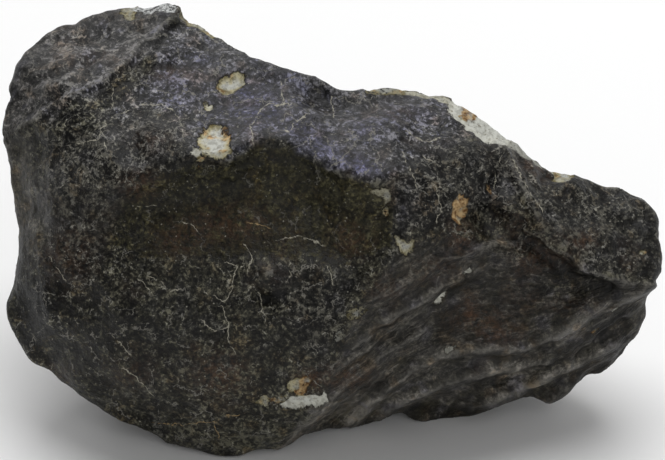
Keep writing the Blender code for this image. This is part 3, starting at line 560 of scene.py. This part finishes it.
class Crust:
    """The points of the mesh, where each is on the drawing, and how far it looks to the front."""

    def __init__(self, mesh):
        self.points = read(mesh.vertices, "co", 3).astype(float)
        self.normals = read(mesh.vertices, "normal", 3).astype(float)
        self.mm = self.points * 1000.0
        self.place = drawn(self.points)
        nearer = 1.0 - self.place[:, 2] / EYE_DISTANCE
        self.spots = self.place[:, :2] / nearer[:, None]
        self.across, self.up = self.spots.T
        self.facing = self.normals[:, 2] * math.sin(LEAN) - self.normals[:, 1] * math.cos(LEAN)
        self.front = faded(self.facing, *FRONT_FADE)
        self.behind = 1.0 - self.front
        self.ragged = layered(self.mm, ZONE_EDGE)

    def full(self, value):
        return np.full(len(self.points), value)

    def rough(self, size, seed):
        return rough(self.mm, size, seed)

    def patches(self, size, seed, start, end):
        """Patches of about that size, 0 outside and 1 inside."""
        return faded(self.rough(size, seed), start, end)

    def zone(self, outline, edge):
        """1 inside an outline on the front, with a ragged edge."""
        inside = -(outline_distance(self.spots, outline) + self.ragged)
        return faded(inside, -edge, edge) * self.front

    def marked(self, marks):
        """The sum of soft marks on the front: (across, up, half width, half height, amount)."""
        total = self.full(0.0)
        for *place, amount in marks:
            total += amount * mound(self.across, self.up, *place)
        return total * self.front


def kinds_of_crust(crust):
    """How much of each kind of crust there is at each point."""
    kinds = SimpleNamespace(**{name: crust.zone(*kind) for name, kind in ZONES.items()})
    kinds.speckled = np.max([crust.zone(outline, SPECKLED_EDGE) for outline in SPECKLED], axis=0)
    patches = crust.patches(17.0, 3.0, -0.1, 0.3) * faded(crust.facing, -0.3, -0.6)
    smooth = HUMP_SMOOTH * kinds.hump + EDGE_SMOOTH * kinds.left_edge + kinds.flank + PATCH_SMOOTH * patches
    kinds.top = np.maximum(kinds.top, HUMP_BLUISH * kinds.hump)
    lively = crust.marked(LIVELY) + crust.patches(11.0, 16.0, 0.0, 0.4) * crust.behind
    kinds.lively = np.clip(lively, 0.0, LIVELY_LIMIT)
    kinds.smooth = np.clip(smooth, 0.0, 1.0) * (1.0 - LIVELY_ROUGHENS * kinds.lively)
    return kinds


def flow_of(crust, kinds):
    """How far across and along the flow each point is, and how far apart the flow lines are there."""
    across, up = crust.across, crust.up
    forward, slanted = along_hump(across, up)
    weights = np.stack([kinds.hump, kinds.left_edge, kinds.flank, crust.behind]) + 1e-4
    weights /= weights.sum(0)
    on_flank, apart = flow_across(crust.spots)
    flow = (weights * np.stack([slanted, across, on_flank, slanted])).sum(0)
    run = (weights * np.stack([forward, up, across + 0.4 * up, forward])).sum(0)
    return flow, run, apart


def relief_of(crust, kinds, flow, run, apart):
    """Height of the small forms, how far up a crest each point is, and how far from its edge."""
    front, smooth = crust.front, kinds.smooth
    height = crust.full(0.0)
    for size, tall in LUMPS:
        height += tall * crust.rough(size, size) * (1.0 - 0.35 * smooth + 0.5 * kinds.lively)
    height += THUMBPRINTS * crust.rough(THUMBPRINT_SIZE, 17.0) * crust.behind

    # ridges along the flow: lower where its lines crowd together and where the flank turns away
    flow_points = np.stack([flow + 0.5 * crust.rough(5.0, 4.0), run * 0.13, crust.place[:, 2] * 0.05], 1)
    ridges = layered(flow_points, RIDGES)
    ridges *= 1.0 - kinds.flank * (1.0 - np.clip(apart / FLOW_SPACING, 0.2, 1.0))
    ridges *= 1.0 - 0.8 * kinds.flank * faded(crust.facing, 0.5, 0.1)
    height += ridges * np.clip(smooth + 0.3 * kinds.hump, 0.0, 1.0)

    bent = crust.spots + BEND * np.stack([crust.rough(BEND_SIZE, seed) for seed in (12.0, 13.0)], 1)
    for x, y, radius, depth in PITS:
        along, aside = along_hump(bent[:, 0] - x, bent[:, 1] - y)
        reach = np.hypot(along * 0.7, aside) / radius
        height -= depth * front * np.clip(1.0 - reach ** 2, 0.0, 1.0) ** 1.5

    crest, edge_on, edge, edge_near = (crust.full(value) for value in (0.0, 0.0, FAR, FAR))
    for tall, line in FLOW_CRESTS:
        signed, nearest = line_distance(bent, line)
        risen = np.clip(1.0 - nearest / CREST_WIDTH, 0.0, 1.0)
        risen *= risen * (3.0 - 2.0 * risen)
        crest = np.maximum(crest, risen * tall / TALLEST_CREST)
        closer = nearest < edge_near
        edge, edge_near = np.where(closer, signed, edge), np.where(closer, nearest, edge_near)
        edge_on = np.where(closer, min(tall / 0.4, 1.0) * faded(nearest, 1.1, 0.6), edge_on)
        sunk = np.exp(-((nearest - 1.7 * CREST_WIDTH) / (0.6 * CREST_WIDTH)) ** 2) * (signed < 0)
        height += CREST_GAIN * tall * front * (risen - 0.38 * sunk)
    for depth, width, line in UNDERCUTS:
        height -= depth * front * np.exp(-(line_distance(bent, line)[1] / width) ** 2)

    pocks = np.array([noise.voronoi(Vector(point) / POCK_SPACING)[0][0] for point in crust.mm])
    pocks = np.clip(1.0 - pocks / POCK_RADIUS, 0.0, 1.0)
    height -= POCK_DEPTH * (pocks * crust.patches(9.0, 7.0, -0.1, 0.35))
    return height, crest * front, edge, edge_on * front


def chips_of(crust):
    """Distance to the nearest chip, negative inside, with how rusty and how pale that chip is."""
    spots, behind = crust.spots, crust.behind
    chip, rusty, pale = crust.full(FAR), crust.full(0.0), crust.full(1.0)
    wander = layered(crust.mm, CHIP_EDGE) + crust.rough(3.2, 19.0) * 1.8 * behind
    turned = crust.facing + 0.4 * crust.rough(2.6, 20.0) * behind
    for chips, reach in ((CHIPS, CHIP_REACH), (EDGE_CHIPS, EDGE_CHIP_REACH)):
        for outline, chip_rust, chip_pale in chips:
            low, high = np.min(outline, 0) - 3.0, np.max(outline, 0) + 3.0
            close = ((spots > low) & (spots < high)).all(1) & (turned > -reach)
            found = outline_distance(spots[close], outline) + wander[close]
            taken = (found < chip[close]) | (found < 0.0)
            chip[close] = np.minimum(chip[close], found)
            rusty[close] = np.where(taken, chip_rust, rusty[close])
            pale[close] = np.where(taken, chip_pale, pale[close])
    return chip, rusty, pale


def cracks_of(crust):
    """Signed distance to the nearest crack, where it shows, and whether it is stained."""
    crack, crack_near, stained = crust.full(FAR), crust.full(FAR), crust.full(0.0)
    for stain, lines in enumerate((CRACKS, STAINED_CRACKS)):
        for line in lines:
            signed, nearest = line_distance(crust.spots, line)
            closer = nearest < crack_near
            crack = np.where(closer, signed, crack)
            crack_near = np.where(closer, nearest, crack_near)
            stained = np.where(closer, float(stain), stained)
    whole, ended = CRACK_REACH
    return crack, faded(-crack_near, -ended, -whole) * crust.front, stained


def work_surface(mesh):
    """Works the small forms into the mesh and returns what the material needs at each point."""
    even_out(mesh)
    crust = Crust(mesh)
    behind = crust.behind
    kinds = kinds_of_crust(crust)
    flow, run, apart = flow_of(crust, kinds)
    height, crest, edge, edge_on = relief_of(crust, kinds, flow, run, apart)
    chip, chip_rust, chip_pale = chips_of(crust)
    floor = layered(crust.mm, CHIP_FLOOR) - CHIP_DEPTH * chip_pale
    height += floor * faded(-chip, -0.25, 0.35) * faded(chip_pale, 0.2, 0.6)
    crack, crack_on, stained = cracks_of(crust)
    rust = crust.marked(RUST) + 0.7 * crust.patches(8.0, 11.0, 0.25, 0.6) * (0.25 + 0.75 * behind)
    violet = crust.marked(VIOLET) + 0.6 * crust.patches(14.0, 18.0, 0.1, 0.5) * behind
    # painted light just above each crest of the flow and painted shadow just below it
    crest_painted_light, crest_painted_shadow = np.exp(-((edge - 0.5) / 0.6) ** 2), np.exp(-((edge + 0.6) / 0.45) ** 2)
    crest_light_and_shadow = edge_on * (0.25 * crest_painted_light - 0.75 * crest_painted_shadow)  # above a crest, and just below it

    grounded = faded(crust.points[:, 2] / UNIT, 0.15, GROUND_FADE)
    height *= np.where(crust.normals[:, 2] < -0.3, grounded, 1.0)
    worked = crust.points + crust.normals * (height * UNIT)[:, None]
    set_points(mesh, np.clip(worked, cad_low, cad_high))
    # places in millimetres, closer together from front to back where the stone faces the front
    skin = crust.place.copy()
    skin[:, 2] -= (1.0 - SKIN_DEPTH) * np.maximum(crust.place[:, 2] - SKIN_START, 0.0)
    return {
        "smooth": kinds.smooth, "hollow": kinds.hollow, "top": kinds.top, "violet": np.clip(violet, 0.0, 1.0),
        "speckled": kinds.speckled, "lively": kinds.lively, "flow": flow, "run": run,
        "chip": np.clip(chip, -4.0, 4.0), "chip_rust": chip_rust, "chip_pale": chip_pale,
        "crack": np.clip(crack, -3.0, 3.0), "crack_on": crack_on, "stained": stained, "rust": rust,
        "relief": height, "crest": crest, "edge": np.clip(edge, -3.0, 3.0), "edge_on": edge_on,
        # the marked stretches, crust tone with painted shade and painted light, and the painted light and
        # shadow beside the crests
        "shade_and_tone": crust.marked(SHADE_AND_TONE_MARKS) + crest_light_and_shadow, "skin": skin,
    }


# ---- shader nodes under short names, so that the material reads as a list of steps ----


def node(tree, kind, values=(), **settings):
    """Adds a node. values: what each of its sockets reads, a constant or another node's output."""
    added = tree.nodes.new("ShaderNode" + kind)
    for name, value in settings.items():
        setattr(added, name, value)
    for name, value in dict(values).items():
        socket = added.inputs[name]
        if isinstance(value, bpy.types.NodeSocket):
            tree.links.new(value, socket)
        else:
            socket.default_value = (*value, 1.0) if socket.type == "RGBA" else value
    return added


def after(kind, values, output=0, **settings):
    """An output of a new node in the same tree as what it reads."""
    values = dict(values)
    tree = next(value.id_data for value in values.values() if isinstance(value, bpy.types.NodeSocket))
    return node(tree, kind, values, **settings).outputs[output]


def calc(operation, *values, clamp=False):
    return after("Math", enumerate(values), operation=operation, use_clamp=clamp)


def plus(a, b):
    return calc("ADD", a, b)


def times(a, b):
    return calc("MULTIPLY", a, b)


def eased(value, factor, base):
    """base plus factor times the value."""
    return calc("MULTIPLY_ADD", value, factor, base)


def swung(value, amount, base=None):
    """base plus amount times how far the value is from a half."""
    centred = calc("SUBTRACT", value, 0.5)
    return times(centred, amount) if base is None else eased(centred, amount, base)


def off_half(value):
    return calc("ABSOLUTE", calc("SUBTRACT", value, 0.5))


def ramp(value, start, end, low=0.0, high=1.0):
    return after("MapRange", enumerate((value, start, end, low, high)), interpolation_type="SMOOTHSTEP")


def fall(value, start, end):
    """1 at start and 0 at end."""
    return ramp(value, start, end, 1.0, 0.0)


def blend(factor, a, b):
    return after("Mix", {0: factor, 2: a, 3: b}, data_type="FLOAT")


def mix(factor, a, b, mode="MIX"):
    return after("Mix", {0: factor, 6: a, 7: b}, 2, data_type="RGBA", blend_type=mode)


def tinted(tone, tint):
    return mix(1.0, tone, tint, "MULTIPLY")


def grey(value):
    return after("CombineColor", {0: value, 1: value, 2: value})


def cloud(place, size, detail=2.0, roughness=0.5):
    """Noise with lumps of that size."""
    return after("TexNoise", {"Vector": place, "Scale": 1.0 / size, "Detail": detail, "Roughness": roughness})


def scaled(place, amount):
    return after("VectorMath", {0: place, "Scale": amount}, operation="SCALE")


def moved(place, by):
    return after("VectorMath", {0: place, 1: by}, operation="ADD")


def crack_network_group():
    """Fine contraction cracks that close into cells and come and go along the way."""
    tree = bpy.data.node_groups.new("crack network", "ShaderNodeTree")
    tree.interface.new_socket("Flat", in_out="INPUT", socket_type="NodeSocketVector")
    for name in ("Cell Size", "Line Width", "Wobble", "Cover"):
        tree.interface.new_socket(name, in_out="INPUT", socket_type="NodeSocketFloat")
    tree.interface.new_socket("Line", in_out="OUTPUT", socket_type="NodeSocketFloat")
    flat, cell_size, line_width, wobble, cover = tree.nodes.new("NodeGroupInput").outputs[:5]
    wander = after("TexNoise", {"Vector": flat, "Scale": 0.9, "Detail": 3.0, "Roughness": 0.6}, "Color",
                   noise_dimensions="2D")
    place = moved(flat, scaled(moved(wander, (-0.5, -0.5, 0.0)), wobble))
    in_cells = scaled(place, calc("DIVIDE", 1.0, cell_size))
    cells = after("TexVoronoi", {"Vector": in_cells, "Scale": 1.0}, "Distance",
                  feature="DISTANCE_TO_EDGE", voronoi_dimensions="2D")
    width = times(line_width, eased(cloud(flat, 0.8, 1.0), 1.4, 0.1))
    line = fall(times(cells, cell_size), times(width, 0.4), width)
    patches = cloud(scaled(place, calc("DIVIDE", 1.7, cell_size)), 1.0)
    start = calc("SUBTRACT", 0.70, times(cover, 0.4))
    shown = ramp(patches, start, plus(start, 0.08))
    tree.links.new(times(line, shown), tree.nodes.new("NodeGroupOutput").inputs["Line"])
    return tree


# ---- the crust ----


def shared_patterns(tree):
    """What several steps of the material read: attributes of the mesh, and the main noises."""

    def at(name, output="Fac"):
        return node(tree, "Attribute", attribute_name=name).outputs[output]

    see = SimpleNamespace(at=at, place=at("skin", "Vector"))
    see.flat = node(tree, "UVMap", uv_map="flat").outputs[0]
    see.smooth, see.lively, see.crest = at("smooth"), at("lively"), at("crest")
    see.grain, see.coarse = cloud(see.place, *GRAIN), cloud(see.place, *COARSE)
    see.broad, see.hue = cloud(see.place, *BROAD), cloud(see.place, *HUE)
    see.hollow = ramp(swung(see.grain, 1.4, at("hollow")), 0.35, 0.65)
    see.calm = times(see.smooth, 0.85)
    see.rough = calc("SUBTRACT", 1.0, see.smooth)
    see.grit = node(tree, "TexVoronoi", {"Vector": see.place, "Scale": 1.0 / GRIT_SIZE}).outputs
    see.grit_shade = node(tree, "SeparateColor", {0: see.grit["Color"]}).outputs
    # places along the flow, wandering a little
    flow = after("CombineXYZ", {0: at("flow"), 1: times(at("run"), 0.30)})
    see.flow = moved(flow, after("CombineXYZ", {0: swung(see.coarse, 1.6)}))
    see.streak, see.fine_streak = cloud(see.flow, *STREAK), cloud(see.flow, *FINE_STREAK)
    return see


def crust_tone(see):
    """Colour of each kind of crust, under black and grey grains. The level top is lighter partly as painted
    sheen, the crests partly as painted highlight, and the grains carry painted light and shade from the
    relief and the marked stretches.
    """
    tone = mix(see.broad, *CRUST)
    tone = mix(see.hollow, tone, HOLLOW_CRUST)
    tone = mix(see.at("speckled"), tone, SPECKLED_CRUST)
    # the level top: its own bluish colour, made lighter partly as painted sheen
    tone = mix(see.at("top"), tone, TOP_CRUST_AND_SHEEN)
    violet = see.at("violet")
    tone = mix(times(violet, ramp(see.coarse, 0.10, 0.55)), tone, tinted(tone, VIOLET_TINT))
    streaked = mix(ramp(see.streak, 0.36, 0.64), *FLOW_CRUST)
    # smooth crust is streaked, and lighter on the crests, partly as painted highlight
    tone = mix(see.smooth, tone, mix(times(see.crest, 0.45), streaked, CREST_CRUST_AND_HIGHLIGHT))
    for start, end, tint in ((0.54, 0.68, COOL_TINT), (0.46, 0.32, WARM_TINT)):
        tone = mix(ramp(see.hue, start, end), tone, tinted(tone, tint))

    def swings(*steps):
        total = None
        for value, amount in steps:
            total = swung(value, amount, total)
        return total

    # the grains stand out most where the crust is lively, and least in the hollow and where it is violet
    spread = eased(violet, -0.18, eased(see.hollow, -0.28, eased(see.lively, 0.78, 0.86)))
    mixed = swings((see.coarse, 6.8), (see.grain, 8.0), (see.grit_shade[0], 2.3))
    bands = cloud(see.flow, *BAND)
    streaky = swings((see.grain, 4.4), (see.fine_streak, 5.2), (see.coarse, 2.0), (bands, 4.0))
    streaky = times(streaky, calc("MULTIPLY_ADD", see.crest, -0.45, 1.0, clamp=True))
    # painted light and painted shade: the grains are lighter where the surface stands up and darker in pits,
    # undercuts and other low places
    mixed = eased(see.at("relief"), 0.9, blend(see.calm, mixed, streaky))
    # broad patches of tone, plus the marked stretches: crust tone with painted shade and painted light
    patchy = plus(swung(see.broad, eased(see.lively, 2.4, 0.4)), see.at("shade_and_tone"))
    shade = calc("MINIMUM", calc("EXPONENT", eased(mixed, spread, patchy)), BRIGHTEST_GRAIN)
    return tinted(tone, grey(shade))


def crack_lines(see):
    """How much there is of the fine pale cracks: the thin lines, and the lines round the plates."""
    network = crack_network_group()

    def cracked(sizes, cover):
        values = dict(zip(("Cell Size", "Line Width", "Wobble"), sizes))
        return after("Group", {"Flat": see.flat, **values, "Cover": cover}, node_tree=network)

    plates = cracked(PLATES, eased(see.at("top"), 0.20, 0.46))
    lines = calc("MAXIMUM", cracked(SMALL_PLATES, eased(see.lively, 0.32, 0.34)),
                 times(cracked(STROKES, eased(see.lively, 0.45, 0.05)), 0.6))
    lines = times(lines, ramp(see.grain, 0.40, 0.58))
    curls = fall(off_half(cloud(see.place, *CURL)), 0.008, 0.035)
    start, end = (eased(see.lively, -0.20, base) for base in (0.63, 0.73))
    curled = times(ramp(cloud(see.place, *CURL_PATCH), start, end), ramp(see.grain, 0.40, 0.54))
    dulled = calc("SUBTRACT", see.rough, times(see.hollow, 0.55))
    lines = times(calc("MAXIMUM", lines, times(curls, curled)), dulled)
    threads = times(fall(off_half(cloud(see.flow, *THREAD)), 0.004, 0.030), ramp(see.streak, 0.46, 0.58))
    lines = calc("MAXIMUM", lines, times(times(threads, see.calm), 0.30))
    return lines, times(plates, eased(dulled, 0.9, 0.1))


def with_lines(see, tone, lines, plates):
    """Adds a painted highlight line along the crests, rust stains, fine cracks, single pale grains and cracks
    filled with salt.
    """
    grain, coarse = see.grain, see.coarse
    # a thin painted highlight line along the crests of the flow
    off_edge = calc("ABSOLUTE", swung(coarse, 0.9, see.at("edge")))
    lit = times(times(fall(off_edge, 0.04, 0.30), ramp(see.hue, 0.40, 0.52)), see.at("edge_on"))
    tone = mix(times(lit, ramp(grain, 0.30, 0.55, 0.2, 0.6)), tone, CREST_HIGHLIGHT)
    rust = times(see.at("rust"), ramp(cloud(see.place, *STAIN_PATCH), 0.36, 0.62))
    tone = mix(calc("MULTIPLY", rust, 0.7, clamp=True), tone, mix(ramp(grain, 0.3, 0.7), *RUST_STAIN))
    added = mix(ramp(coarse, 0.35, 0.65), *LINE_LIGHT)
    tone = mix(lines, tone, mix(1.0, tinted(tone, LINE_TINT), added, "ADD"))
    tone = mix(times(plates, 0.8), tone, mix(coarse, *PLATE_LINE))
    pale = times(fall(see.grit["Distance"], 0.16, 0.36), ramp(see.grit_shade[1], 0.91, 0.95))
    pale = times(times(pale, eased(see.rough, 0.7, 0.1)), ramp(grain, 0.40, 0.62))
    tone = mix(pale, tone, PALE_GRAIN)
    # salt fills the cracks in dashes
    off_line = calc("ABSOLUTE", plus(see.at("crack"), swung(cloud(see.place, *SALT_WANDER), 1.5)))
    shown = times(see.at("crack_on"), ramp(cloud(see.place, *SALT_GAP), 0.36, 0.54))
    salt = mix(see.at("stained"), mix(coarse, *SALT), STAINED_SALT)
    return mix(times(fall(off_line, 0.02, eased(grain, 0.20, 0.01)), shown), tone, salt)


def with_chips(see, tone):
    """Adds chips: white in the middle and yellow towards the rim, with rust in places and a brown line round
    them. Returns the colour, where the chips are, and the grain of their stone."""
    grain, chip_rust, worn = see.grain, see.at("chip_rust"), see.at("chip_pale")
    edge = plus(see.at("chip"), swung(cloud(see.place, *STONE_EDGE), 1.4))
    stone_grain, stone_patch = cloud(see.place, *STONE_GRAIN), cloud(see.place, *STONE_PATCH)
    white = mix(ramp(stone_grain, 0.36, 0.58), *WHITE_STONE)
    yellow = mix(ramp(stone_grain, 0.36, 0.60), *YELLOW_STONE)
    yellowed = times(ramp(swung(stone_patch, 3.6, edge), -1.6, -0.1), ramp(chip_rust, -0.05, 0.15))
    bare = mix(ramp(grain, 0.56, 0.72, 0.0, 0.65), mix(yellowed, white, yellow), STONE_SPECK)
    orange = mix(ramp(stone_grain, 0.34, 0.64), *RUSTY_STONE)
    bare = mix(ramp(plus(chip_rust, swung(stone_patch, 1.8)), 0.35, 0.75), bare, orange)
    broken = mix(ramp(grain, 0.36, 0.64), *BROKEN_STONE)
    bare = mix(ramp(chip_rust, -0.5, -0.9), tinted(bare, grey(worn)), broken)
    rim = times(times(fall(edge, 0.0, 0.45), times(worn, 0.7)), ramp(stone_patch, 0.45, 0.60))
    chip = times(fall(edge, -0.12, 0.10), ramp(swung(grain, 2.4, worn), 0.10, 0.42))
    return mix(chip, mix(rim, tone, CHIP_RIM), bare), chip, stone_grain


def fine_height(see, lines, plates, chip, stone_grain):
    """Height of what is finer than the mesh, in millimetres."""
    grainy = plus(times(see.grain, 0.16), times(see.coarse, 0.40))
    streaked = plus(plus(times(see.streak, 0.45), times(see.fine_streak, 0.16)), times(see.grain, 0.10))
    height = plus(blend(see.calm, grainy, streaked), times(lines, 0.05))
    height = calc("SUBTRACT", height, times(plates, 0.03))
    return blend(chip, height, eased(stone_grain, 0.14, -0.12))


def crust_material():
    material = bpy.data.materials.new("fusion crust")
    material.use_nodes = True
    material.node_tree.nodes.clear()
    see = shared_patterns(material.node_tree)
    lines, plates = crack_lines(see)
    tone = with_lines(see, crust_tone(see), lines, plates)
    tone, chip, stone_grain = with_chips(see, tone)
    height = fine_height(see, lines, plates, chip, stone_grain)
    bump = after("Bump", {"Strength": 1.0, "Distance": 0.001, "Height": height})
    gloss = blend(chip, ramp(see.grain, 0.3, 0.7, *GRAIN_GLOSS), CHIP_GLOSS)
    shader = after("BsdfPrincipled", {"Base Color": tone, "Roughness": gloss, "Normal": bump, "IOR": IOR})
    node(material.node_tree, "OutputMaterial", {"Surface": shader})
    return material


# ---- the piece ----


def lay_flat(mesh):
    """A map in millimetres from the side that each face looks to, for patterns that lie flat on the crust."""
    sizes = read(mesh.polygons, "loop_total", kind=np.int32)
    corners = read(mesh.loops, "vertex_index", kind=np.int32)
    looks = drawn(read(mesh.polygons, "normal", 3) * UNIT + MIDDLE)
    looks[:, 2] *= np.where(looks[:, 2] > 0, FRONT_REACH, 1.0)
    axis = np.abs(looks).argmax(1)
    sign = np.repeat(np.sign(looks[np.arange(len(looks)), axis]), sizes)
    axis = np.repeat(axis, sizes)
    place = drawn(read(mesh.vertices, "co", 3).astype(float))[corners]
    first = np.where(axis == 0, place[:, 2], place[:, 0])
    second = np.where(axis == 1, place[:, 2], place[:, 1])
    apart = 300.0 * axis + 1000.0 * (sign > 0)  # keeps the sides' patterns from matching where they meet
    layer = mesh.uv_layers.new(name="flat")
    layer.uv.foreach_set("vector", np.stack([first + apart, second], 1).astype(np.float32).ravel())


def make_stone():
    mesh = fine_mesh(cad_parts["stone"])
    mesh.name = "meteorite"
    for name, values in work_surface(mesh).items():
        kind, key = ("FLOAT_VECTOR", "vector") if values.ndim == 2 else ("FLOAT", "value")
        mesh.attributes.new(name, kind, "POINT").data.foreach_set(key, values.astype(np.float32).ravel())
    lay_flat(mesh)
    mesh.materials.clear()
    mesh.materials.append(crust_material())
    mesh.shade_smooth()
    stone = placed("meteorite", mesh)
    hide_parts("stone")
    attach(stone, "root")


# ---- the studio ----


def make_floor():
    material = bpy.data.materials.new("studio floor")
    material.use_nodes = True
    shader = material.node_tree.nodes["Principled BSDF"]
    shader.inputs["Base Color"].default_value = FLOOR_COLOUR
    shader.inputs["Roughness"].default_value = FLOOR_ROUGHNESS
    mesh = bpy.data.meshes.new("floor")
    corners = [(x * FLOOR_REACH, y * FLOOR_REACH, 0) for x, y in ((-1, -1), (1, -1), (1, 1), (-1, 1))]
    mesh.from_pydata(corners, [], [(0, 1, 2, 3)])
    mesh.materials.append(material)
    floor = placed("floor", mesh)


def make_studio():
    make_floor()
    for name, place, target, size, power in LIGHTS:
        data = bpy.data.lights.new(name, "AREA")
        data.shape, data.size, data.energy = "DISK", size, power
        light = placed(name, data)
        light.location = place
        light.rotation_euler = (Vector(target) - Vector(place)).to_track_quat("-Z", "Y").to_euler()
    world = bpy.data.worlds.new("studio")
    world.use_nodes = True
    sky = world.node_tree.nodes["Background"].inputs
    sky["Color"].default_value = WHITE
    sky["Strength"].default_value = SKY_STRENGTH
    bpy.context.scene.world = world
    bpy.context.scene.view_settings.view_transform = "Standard"


def make_camera():
    """Looks at the drawn face straight on."""
    back = Vector((0.0, -math.cos(LEAN), math.sin(LEAN)))
    data = bpy.data.cameras.new("camera")
    data.sensor_width = SENSOR
    data.lens = SENSOR * EYE_DISTANCE / (PIXELS_WIDE / PIXELS_PER_UNIT)
    data.shift_x = MIDDLE_OFF / PIXELS_WIDE
    data.clip_start = 0.01
    camera = placed("camera", data)
    camera.location = Vector(MIDDLE) + back * EYE_DISTANCE * UNIT
    camera.rotation_mode = "QUATERNION"
    camera.rotation_quaternion = (-back).to_track_quat("-Z", "Y")
    bpy.context.scene.camera = camera


make_camera()
make_studio()
make_stone()
